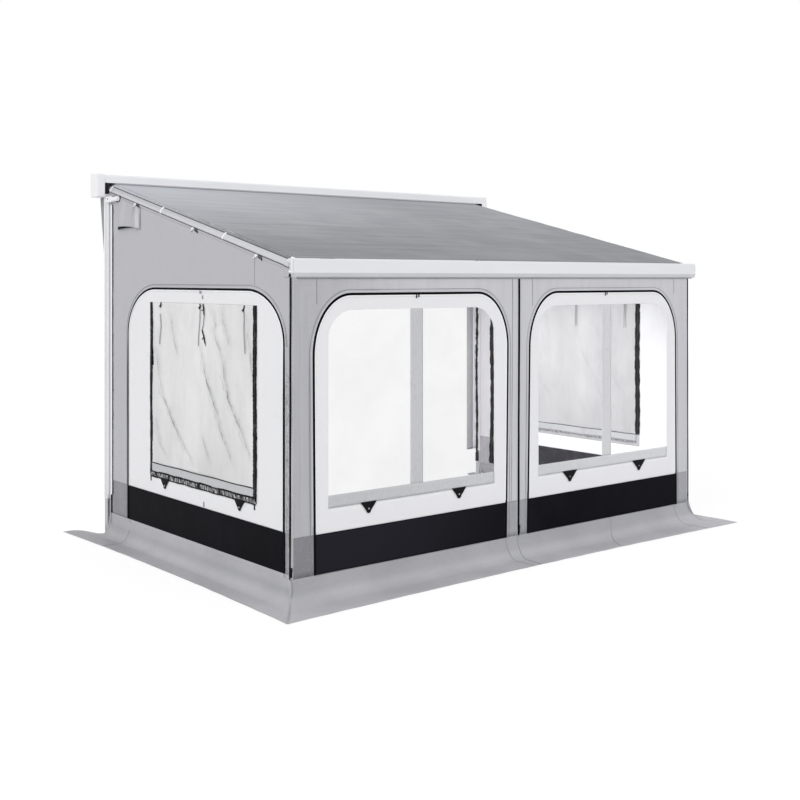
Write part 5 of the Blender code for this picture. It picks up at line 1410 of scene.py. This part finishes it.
class AWNING_OT_side_windows(bpy.types.Operator):
    """Milky film in the side panels, with its coarse zips, strips, tabs, ties and pulls"""
    bl_idname = "awning.side_windows"
    bl_label = "Side windows"

    def execute(self, context):
        size = sizes()
        for side, sign in SIDES.items():
            body, node = f"window_flap_{side}", f"side_window_{side}"
            (start, stop), (foot, top) = extent("side", "window", side)
            shift = start - low("side_window_left")[1]
            points = field(np.linspace(start, stop, 230), np.linspace(foot, top, 120))
            y, z = points[..., 0], points[..., 1]
            crease, grey = creasing(y - shift, z)
            # On the right window the creases stand out less and their painted reflections are
            # faint.
            raised, dark = (1, 1) if sign < 0 else (0.5, 0.16)
            edge = (np.clip((y - start) * (stop - y) * 60, 0, 1)
                    * np.clip((top - z) * (z - foot) * 60, 0, 1))
            wave = (crease * raised + 0.0016 * ripple(points, 14, 0.3)) * edge
            film = piece(f"side_window_film_{side}",
                         [laid(points, side, wave - CLOTH_DEPTH / 2)], "milky_film",
                         body, size.film)
            keep_crease(film, grey * dark * edge)
            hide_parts(node)

            zips = []
            for along, width, seed in ((start + 0.020, 0.046, 61), (stop - 0.018, 0.037, 62)):
                z = np.linspace(top, foot + 0.012, 170)
                line = at(along + 0.0025 * np.sin(z * 7 + seed), z)
                zips.append(ragged(line, side, width, 0.0012, seed, 0.28))
                zips.append(ragged(line[:-12], side, 0.050, INSIDE, seed + 4, 0.45))
                tail = at(along + 0.004 * np.sin(np.linspace(0, 3, 9)),
                          np.linspace(foot + 0.016, foot - 0.034, 9))
                zips.append(ragged(tail, side, 0.014, 0.0022, seed + 7, 0.2))
            upright = piece(f"side_window_coarse_zip_{side}", zips, "coarse_zip",
                            body, 0.0014, f"side_window_zip_{side}")
            y = np.linspace(start + 0.006, stop - 0.006, 160)
            line = at(y, foot + 0.024 + 0.0015 * np.sin(y * 21))
            level = piece(f"side_window_low_zip_{side}",
                          [ragged(line, side, 0.050, 0.0024, 63, 0.14)], "ticked_zip",
                          body, 0.0014)

            points = field(np.linspace(start + 0.034, stop - 0.034, 70),
                           np.linspace(foot + 0.044, foot + 0.106, 8))
            strips = [laid(points, side, out + 0.0005 * ripple(points, 4, 0.08))
                      for out in (0.0012, INSIDE)]
            strip = piece(f"side_window_strip_{side}", strips, "strip", body,
                          size.tape)
            y = np.linspace(start + 0.034, stop - 0.034, 60)
            line = at(y, foot + 0.106 + 0.0015 * np.sin(y * 13))
            hem = piece(f"side_window_strip_edge_{side}",
                        [sewn(line, side, 0.0010, 0.0065, 0.0030),
                         sewn(line, side, INSIDE - 0.0030, 0.004, 0.0022)], "tape",
                        body)
            dashes = piece(f"side_window_inner_zip_{side}",
                           [ragged(line - (0, 0.072), side, 0.014, INSIDE - 0.0012, 64, 1.1)],
                           "worn_zip", body, 0.0012)
            tabs = start + 0.2073, start + 1.2570
            tab = piece(f"side_window_tabs_{side}",
                        [tab_patch(middle, foot + 0.010, 0.140, 0.078, side, 0.0040)
                         for middle in tabs], "tape", body, size.tape)
            eyelet = piece(f"side_window_eyelets_{side}",
                           [disc(stood(at(middle, foot - 0.044), side, 0.0068), facing(side),
                                 0.0062, 0.0016) for middle in tabs],
                           "metal", body)
            cords, clips = make_ties(side, shift, top)
            tie = piece(f"side_window_ties_{side}", cords, "cord", body)
            clip = piece(f"side_window_clips_{side}", clips, "tape", body)

            pulls = []
            for along, head, drop, wide in ((0.735, 1.976, 0.020, 0.026),
                                            (0.705, 1.944, 0.026, 0.012),
                                            (0.687, 0.492, 0.036, 0.012)):
                fall = drop * np.linspace(0, 1, 6)
                points = field(start + along + wide * np.linspace(-0.5, 0.5, 5), head - fall)
                curl = 0.0014 * np.sin(-fall * 90)[:, None]
                pulls.append(laid(points, side, 0.0030 + curl))
            piece(f"side_panel_pulls_{side}", pulls, "cord", f"side_door_{side}",
                  0.0022)
        return {"FINISHED"}


# Skirts

SKIRT_ROWS, FLAT_SHARE = 26, 0.42
CUFF_TOP = 0.188
# The skirts' seams: which skirt, where along its wall, and how far they drift outwards.
SKIRT_SEAMS = (("left", 0.915, 0.045), ("right", 0.915, 0.045), ("front", -0.139, 0.017),
               ("front", -0.019, -0.037), ("front", 1.033, -0.21), ("front", 1.84, 0.05))


def skirt_patch(top, edge, sweep):
    """A skirt from its seam to its outer edge.

    A share s of the way it has run out by s to the power 1.5 and stands at the seam's height
    times the square of what is left to the flat stretch. Sweep bends the run along Y: it waits
    until the cloth has passed the pole's foot, then catches up by the fourth power.
    """
    share = np.linspace(0, 1, SKIRT_ROWS)[:, None]
    out = share ** 1.5
    falling = np.clip(1 - share / (1 - FLAT_SHARE), 0, 1)
    late = np.clip((out - 0.16) / 0.84, 0, 1)
    ease = np.clip(late / 0.3, 0, 1)
    caught = (1 - (1 - late) ** 4) * ease ** 2 * (3 - 2 * ease)
    ground = top + (edge - top) * at(out, out * (1 - sweep) + caught * sweep)
    places = at(ground[..., 0], ground[..., 1], (SEAM_Z - 0.0004) * falling ** 2)
    normal = np.cross(np.gradient(places, axis=0), np.gradient(places, axis=1))
    normal /= np.linalg.norm(normal, axis=2, keepdims=True) * np.sign(normal[..., 2].mean())
    places += normal * CLOTH_DEPTH / 2
    steps = np.diff(places, axis=0, prepend=places[:1])
    cloth = at(run_of(places[0]), np.cumsum(np.linalg.norm(steps, axis=2), axis=0))
    lift = 0.0014 * ripple(cloth, 17, 0.18) * np.clip(share * 2, 0, 1)
    places[..., 2] = np.maximum(places[..., 2] + np.abs(lift), 0.0009)
    return places, cloth


def cuff(sign, foot, edge, top, bottom, shares):
    """Cuff over a side wall's foot: top and bottom are shares of the way down to the skirt."""
    down = top + (bottom - top) * np.array(shares)[:, None]
    z = CUFF_TOP + (foot[:, 2] - 0.0012 - CUFF_TOP) * down
    wall = HALF_LENGTH + 0.0046 + 0.0003 * np.sin(foot[:, 1] * 9)
    x = wall + (np.abs(foot[:, 0]) - wall) * down ** 4
    y = np.minimum(edge * (1 - down) + foot[:, 1] * down, REAR_Y + 0.004)
    return at(sign * x, y, z), at(y, z)


class AWNING_OT_skirts(bpy.types.Operator):
    """The skirts: coated cloth that falls from the seam and lies out flat on the ground"""
    bl_idname = "awning.skirts"
    bl_label = "Skirts"

    def execute(self, context):
        thick, up = sizes().cloth, (0, 0, 1)
        surface = np.array([0, 0, thick / 2])
        share = np.linspace(0, 1, 140)
        bow, across = 4 * share * (1 - share), 2 * share - 1
        inner, seam_y = HALF_LENGTH - CLOTH_DEPTH, FRONT_Y + CLOTH_DEPTH
        front, corner = low("skirt_front")[1] + 0.0002, high("skirt_front")[0]
        rear, start = high("skirt_left")[1], seam_y + 0.0004
        patches = {"front": skirt_patch(at(inner * across, seam_y),
                                        at(corner * across, front + 0.045 * bow), 0 * share)}
        for side, sign in SIDES.items():
            edge = at(sign * (corner + 0.0004 - 0.035 * bow),
                      front + 0.0004 + (rear - front - 0.0004) * share)
            patches[side] = skirt_patch(at(sign * inner, start + (REAR_Y - start) * share), edge,
                                        share ** 3)
        welts, mitres, lines, cuffs = [], [], [], []
        for side, (places, cloth) in patches.items():
            skirt = piece(f"skirt_cloth_{side}", [(places, cloth)], "skirt",
                          thick=thick, node=f"skirt_{side}")
            down, along = (np.linalg.norm(np.diff(places, axis=k), axis=2) for k in (0, 1))
            welts.append(tube(places[-1] * 0.992 + places[-2] * 0.008 + surface * 0.6,
                              flat_profile(0.010, 0.0010), up))
            if side != "front":
                mitres.append(tube(places[:, 0] + surface, flat_profile(0.008, 0.0014), up))

        for side, along, drift in SKIRT_SEAMS:
            places, axis = patches[side][0], 0 if side == "front" else 1
            target = along + drift * np.linspace(0, 1, SKIRT_ROWS) ** 1.3
            column = np.array([np.interp(value, row[:, axis], np.arange(len(row)))
                               for value, row in zip(target, places)])
            left = np.clip(column.astype(int), 0, places.shape[1] - 2)
            part, rows = (column - left)[:, None], np.arange(SKIRT_ROWS)
            path = places[rows, left] * (1 - part) + places[rows, left + 1] * part
            lines.append(tube(path + surface, flat_profile(0.0060, 0.0016), up))

        # What of the cuff stands above the door's fold rides on the door. The rows crowd at the
        # fold, so that no shading runs out from the edges that meet there.
        upper, lower = (0, 0.03, 0.35, 0.7, 0.97, 1), (0, 0.006, *np.linspace(0.08, 1, 12))
        for side, sign in SIDES.items():
            columns = patches[side][0][:, ::2]
            foot, edge = columns[7], columns[0][:, 1]
            (first, last), (hinge, _) = extent("side", "panel", side)
            fold = (CUFF_TOP - hinge) / (CUFF_TOP - foot[:, 2] + 0.0012)
            held = np.nonzero((edge > first) & (edge < last))[0]
            before, door, after = (cuff(sign, foot[span], edge[span], 0, fold[span], upper)
                                   for span in (slice(None, held[0] + 1),
                                                slice(held[0], held[-1] + 1),
                                                slice(held[-1], None)))
            cuffs += [before, after, cuff(sign, foot, edge, fold, 1, lower)]
            piece(f"side_panel_{side}_cuff", [door], "skirt",
                  f"side_door_{side}", thick)
        piece("skirt_cuffs", cuffs, "skirt", thick=thick)
        piece("skirt_seams", lines, "seam")
        piece("skirt_welts", welts, "hem")
        piece("skirt_mitres", mitres, "hem")
        return {"FINISHED"}


# Flap, seals and fittings

class AWNING_OT_flap(bpy.types.Operator):
    """The loose flap at the top of the left side wall, a black sheet under it that paints the shade
    in its gap, and its turned edge
    """
    bl_idname = "awning.flap"
    bl_label = "Wall flap"

    def execute(self, context):
        a, b = low("wall_flap"), high("wall_flap")
        down, along = np.meshgrid(np.linspace(0, 1, 40), np.linspace(0, 1, 60), indexing="ij")
        y = a[1] + (b[1] - a[1]) * along
        foot = a[2] + 0.010 + 0.030 * along ** 0.6 + 0.008 * np.sin(math.pi * along)
        top = rafter_height(y) - 0.0290
        z = top + (foot - top) * down
        opened = np.sin(math.pi / 2 * down) ** 2
        belly = 0.022 * np.sin(math.pi * along ** 2.2) ** 0.8 * opened + 0.004 * opened
        fold = 0.013 * bell(along - 0.17 + 0.05 * down, 0.055) * np.clip(down * 3, 0, 1)
        hollow = 0.005 * bell(along - 0.42, 0.13) * bell(down - 0.55, 0.3)
        slack = 0.0016 * np.sin(along * 21 + down * 4) * down
        places = at(-HALF_LENGTH - 0.0024 - np.abs(belly + fold - hollow + slack), y, z)
        flap = piece("wall_flap_cloth", [(places, at(y, z))], "flap",
                     thick=sizes().cloth)
        # Painted highlight on the fold and painted shade in the hollow, kept as the crease value.
        pale = bell(along - 0.13 + 0.02 * down, 0.060) * np.clip(0.35 + down, 0, 1)
        grey = bell(along - 0.26 - 0.16 * down, 0.055) * np.clip(1.2 - 1.2 * down, 0, 1)
        keep_crease(flap, pale + 0.35 * bell(along - 0.72, 0.13) - 0.8 * grey)
        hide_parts("wall_flap")
        hem = piece("wall_flap_binding",
                    [tube(places[-1] + (0.0004, 0, 0.001), round_profile(0.0030), (1, 0, 0)),
                     tube(places[:, 0] + (-0.0012, 0.003, 0), flat_profile(0.005, 0.0014),
                          (-1, 0, 0))], "hem")
        # A black sheet from the flap's lower edge back to the wall paints the shade in the gap
        # behind it.
        x, y, z = (places[-1] + (0.0016, 0, 0.004)).T
        drop = 0.006 + 0.021 * np.clip((along[0] - 0.28) / 0.72, 0, 1) ** 0.8
        back = at(x * 0.4 - 0.6 * (HALF_LENGTH + 0.0020), y, z - drop)
        grid = ring(at(x, y, z), back, 6)
        gap_shade = piece("wall_flap_lining", [(grid, grid[..., :2])], "tape",
                       thick=0.0012)
        return {"FINISHED"}


class AWNING_OT_seals(bpy.types.Operator):
    """The foam wedges behind the rear poles, crowned where nothing presses on them"""
    bl_idname = "awning.seals"
    bl_label = "Foam seals"

    def execute(self, context):
        for side in SIDES:
            a, b = low(f"pole_seal_{side}"), high(f"pole_seal_{side}")
            up = np.linspace(a[2] + 0.001, b[2] - 0.001, 40)[:, None]
            share = (up - a[2]) / (b[2] - a[2])
            reach = 0.003 + (b[1] - a[1] - 0.004) * share
            turn = np.arange(24) / 24 * math.tau
            corner = 1 / (np.abs(np.cos(turn)) ** 8 + np.abs(np.sin(turn)) ** 8) ** (1 / 8)
            half = (b[0] - a[0]) / 2 * 0.97 * (0.92 + 0.08 * np.sin(math.pi * share))
            places = at((a[0] + b[0]) / 2 + half * np.cos(turn) * corner,
                        a[1] + 0.0008 + reach * (0.5 + 0.5 * np.sin(turn) * corner), up)
            wedge = piece(f"foam_seal_{side}", [(places, at(up, np.linspace(0, 0.2, 25)), True)],
                          "foam", node=f"pole_seal_{side}")
        return {"FINISHED"}


# Start of a rigid part's slot, and its finish.
RIGID = {"white_aluminium": "paint", "white_plastic": "plastic", "bare_aluminium": "metal",
         "black_plastic": "dark_plastic"}
BRACKET_TIP = 1.098
GROOVE_X, GROOVE_Y = (2.020, 2.066), (1.150, 1.290)    # of the brackets' slotted tops


class AWNING_OT_metalwork(bpy.types.Operator):
    """Paint, moulded plastic and drawn aluminium for the rigid parts, and their small fittings"""
    bl_idname = "awning.metalwork"
    bl_label = "Rail, cassette, arms, legs and poles"

    def execute(self, context):
        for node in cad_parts.values():
            for slot in node.material_slots:
                name = slot.material.name if slot.material else ""
                for key, look in RIGID.items():
                    if name.startswith(key):
                        slot.material = material("rail" if "rail" in node.name else look)
        # A dark cord under the rail's front: a keder in part, and a painted shadow line under the
        # rail.
        line = at(np.linspace(low("lead_rail")[0] + 0.03, high("lead_rail")[0] - 0.03, 80),
                  FRONT_Y - 0.0030, RAIL_UNDER - 0.0040)
        piece("rail_keder", [tube(line, round_profile(0.0040, 10), (0, 0, 1))], "seam")
        cap = low("rail_cap_left")[0]
        dark = [block((cap - 0.0060, FRONT_Y - 0.004, RAIL_UNDER + 0.001),
                      (cap + 0.0005, FRONT_Y + 0.014, RAIL_UNDER + 0.022))]
        pale = [block((cap - 0.0090, FRONT_Y - 0.006, RAIL_UNDER + 0.029),
                      (cap + 0.001, FRONT_Y + 0.012, RAIL_UNDER + 0.045), 0.004)]
        grooves, heads = [], []
        for side, sign in SIDES.items():
            out = (sign, 0, 0)
            (_, root, under), over = low(f"pole_bracket_{side}"), high(f"pole_bracket_{side}")[2]
            near, far = sign * (HALF_LENGTH + 0.0010), sign * (HALF_LENGTH + 0.0290)
            pale.append(block((near + sign * 0.004, BRACKET_TIP, under + 0.003),
                              (far, root + 0.004, over - 0.004), 0.009))
            # Painted shadow: a dark plate between each bracket's tongue and the wall.
            dark.append(block((near, BRACKET_TIP - 0.006, under - 0.001),
                              (near + sign * 0.0038, BRACKET_TIP + 0.060, over - 0.003), 0.001))
            grooves.append(block((sign * GROOVE_X[0], GROOVE_Y[0], over + 0.001),
                                 (sign * GROOVE_X[1], GROOVE_Y[1], over + 0.007)))
            dark.append(disc((sign * 2.0642, 1.262, over - 0.019), out, 0.006, 0.0016))
            dark.append(block((sign * 2.044, HOUSING_Y - 0.0035, 2.742),
                              (sign * 2.076, HOUSING_Y - 0.0005, 2.832), 0.001))
            a, b = low(f"rear_pole_{side}"), high(f"rear_pole_{side}")
            z = np.linspace(a[2] + 0.004, b[2] - 0.004, 30)
            for back in (0.018, 0.034):
                grooves.append(tube(at(a[0] if sign < 0 else b[0], a[1] + back, z),
                                    flat_profile(0.006, 0.0009), out))
            grooves.append(tube(at((a[0] + b[0]) / 2, a[1], z), flat_profile(0.008, 0.0009),
                                (0, -1, 0)))
        piece("fittings_dark", dark, "dark_plastic")
        piece("fittings_pale", pale, "plastic")
        piece("pole_grooves", grooves, "strip")
        for along in (-0.9875, 0.9756):
            for offset, drop in ((-0.010, 0.034), (0.010, 0.026)):
                points = field(along + offset + 0.009 * np.linspace(-0.5, 0.5, 4),
                               1.962 - drop * np.linspace(0, 1, 6))
                heads.append(laid(points, "front", 0.0042))
        piece("arch_pulls", heads, "tape", thick=0.0022)
        return {"FINISHED"}


# Stage

SUNS = (("key_sun", 1.15, 40, 54, -62), ("fill_sun", 0.35, 60, 70, 20))


def added(name, data, **settings):
    """An object of the scene from its data: a camera, light or mesh."""
    made = bpy.data.objects.new(name, data)
    for key, value in settings.items():
        setattr(made, key, value)
    bpy.context.scene.collection.objects.link(made)
    return made


class AWNING_OT_stage(bpy.types.Operator):
    """The pale floor, the plain light and the camera at the photograph's angle"""
    bl_idname = "awning.stage"
    bl_label = "Floor, light and camera"

    def execute(self, context):
        scene = context.scene
        scene.view_settings.view_transform = "Standard"
        view, camera = scene.awning_camera, bpy.data.cameras.new("photo_camera")
        camera.lens, camera.sensor_width, camera.shift_y = view.lens, 36, view.shift
        camera.clip_end = 300
        scene.camera = added("photo_camera", camera, location=view.place,
                             rotation_euler=(math.pi / 2, 0, -view.turn))

        # Light from all around: full where it is seen, mirrored or passes, less where it shades.
        scene.world = bpy.data.worlds.new("plain_light")
        scene.world.use_nodes = True
        tree = scene.world.node_tree
        path, background = tree.nodes.new("ShaderNodeLightPath"), tree.nodes["Background"]
        seen = path.outputs["Is Camera Ray"]
        for ray in ("Glossy", "Transmission"):
            either = tree.nodes.new("ShaderNodeMath")
            either.operation = "MAXIMUM"
            tree.links.new(seen, either.inputs[0])
            tree.links.new(path.outputs[f"Is {ray} Ray"], either.inputs[1])
            seen = either.outputs[0]
        strength = tree.nodes.new("ShaderNodeMapRange")
        strength.inputs["To Min"].default_value = 0.72
        strength.inputs["To Max"].default_value = 1.0
        tree.links.new(seen, strength.inputs[0])
        tree.links.new(strength.outputs[0], background.inputs["Strength"])
        background.inputs["Color"].default_value = (1, 1, 1, 1)

        for name, power, angle, tilt, turn in SUNS:
            sun = bpy.data.lights.new(name, "SUN")
            sun.energy, sun.angle = power, math.radians(angle)
            added(name, sun, rotation_euler=(math.radians(tilt), 0, math.radians(turn)))
        glow = bpy.data.lights.new("room_light", "AREA")
        glow.shape, glow.size, glow.size_y, glow.energy = "RECTANGLE", 3.4, 1.8, 58
        added("room_light", glow, location=(0, 0, 2.02), visible_camera=False,
              visible_glossy=False)

        edge, index = np.linspace(-60, 60, 9), np.arange(81).reshape(9, 9)
        quads = np.stack([index[:-1, :-1], index[:-1, 1:], index[1:, 1:], index[1:, :-1]], axis=-1)
        mesh = bpy.data.meshes.new("floor")
        mesh.from_pydata(at(*np.meshgrid(edge, edge), -0.0002).reshape(-1, 3), [],
                         quads.reshape(-1, 4).tolist())
        mesh.materials.append(material("floor"))
        added("floor", mesh)
        return {"FINISHED"}


STEPS = (AWNING_OT_metalwork, AWNING_OT_roof, AWNING_OT_roll, AWNING_OT_rafters,
         AWNING_OT_front_walls, AWNING_OT_side_walls, AWNING_OT_trim, AWNING_OT_front_panels,
         AWNING_OT_side_panels, AWNING_OT_front_windows, AWNING_OT_side_windows,
         AWNING_OT_skirts, AWNING_OT_flap, AWNING_OT_seals, AWNING_OT_rear_edges,
         AWNING_OT_stage)
GROUPS = {"awning_colours": AwningColours, "awning_sizes": AwningSizes,
          "awning_camera": AwningCamera}


class AWNING_PT_sidebar(bpy.types.Panel):
    """The awning's sizes and colours, and a button for each of its pieces"""
    bl_label = "Caravan awning"
    bl_idname = "AWNING_PT_sidebar"
    bl_space_type = "VIEW_3D"
    bl_region_type = "UI"
    bl_category = "Awning"

    def draw(self, context):
        for name, group in GROUPS.items():
            box = self.layout.box()
            for key in group.__annotations__:
                box.prop(getattr(context.scene, name), key)
        for step in STEPS:
            self.layout.operator(step.bl_idname)


def register():
    for group in (*GROUPS.values(), *STEPS, AWNING_PT_sidebar):
        bpy.utils.register_class(group)
    for name, group in GROUPS.items():
        setattr(bpy.types.Scene, name, PointerProperty(type=group))


def unregister():
    for name in GROUPS:
        delattr(bpy.types.Scene, name)
    for group in (AWNING_PT_sidebar, *reversed(STEPS), *reversed(GROUPS.values())):
        bpy.utils.unregister_class(group)


def main():
    """Registers the classes and dresses the awning piece by piece."""
    register()
    for step in STEPS:
        area_name, call = step.bl_idname.split(".")
        getattr(getattr(bpy.ops, area_name), call)()


if __name__ == "__main__":
    main()
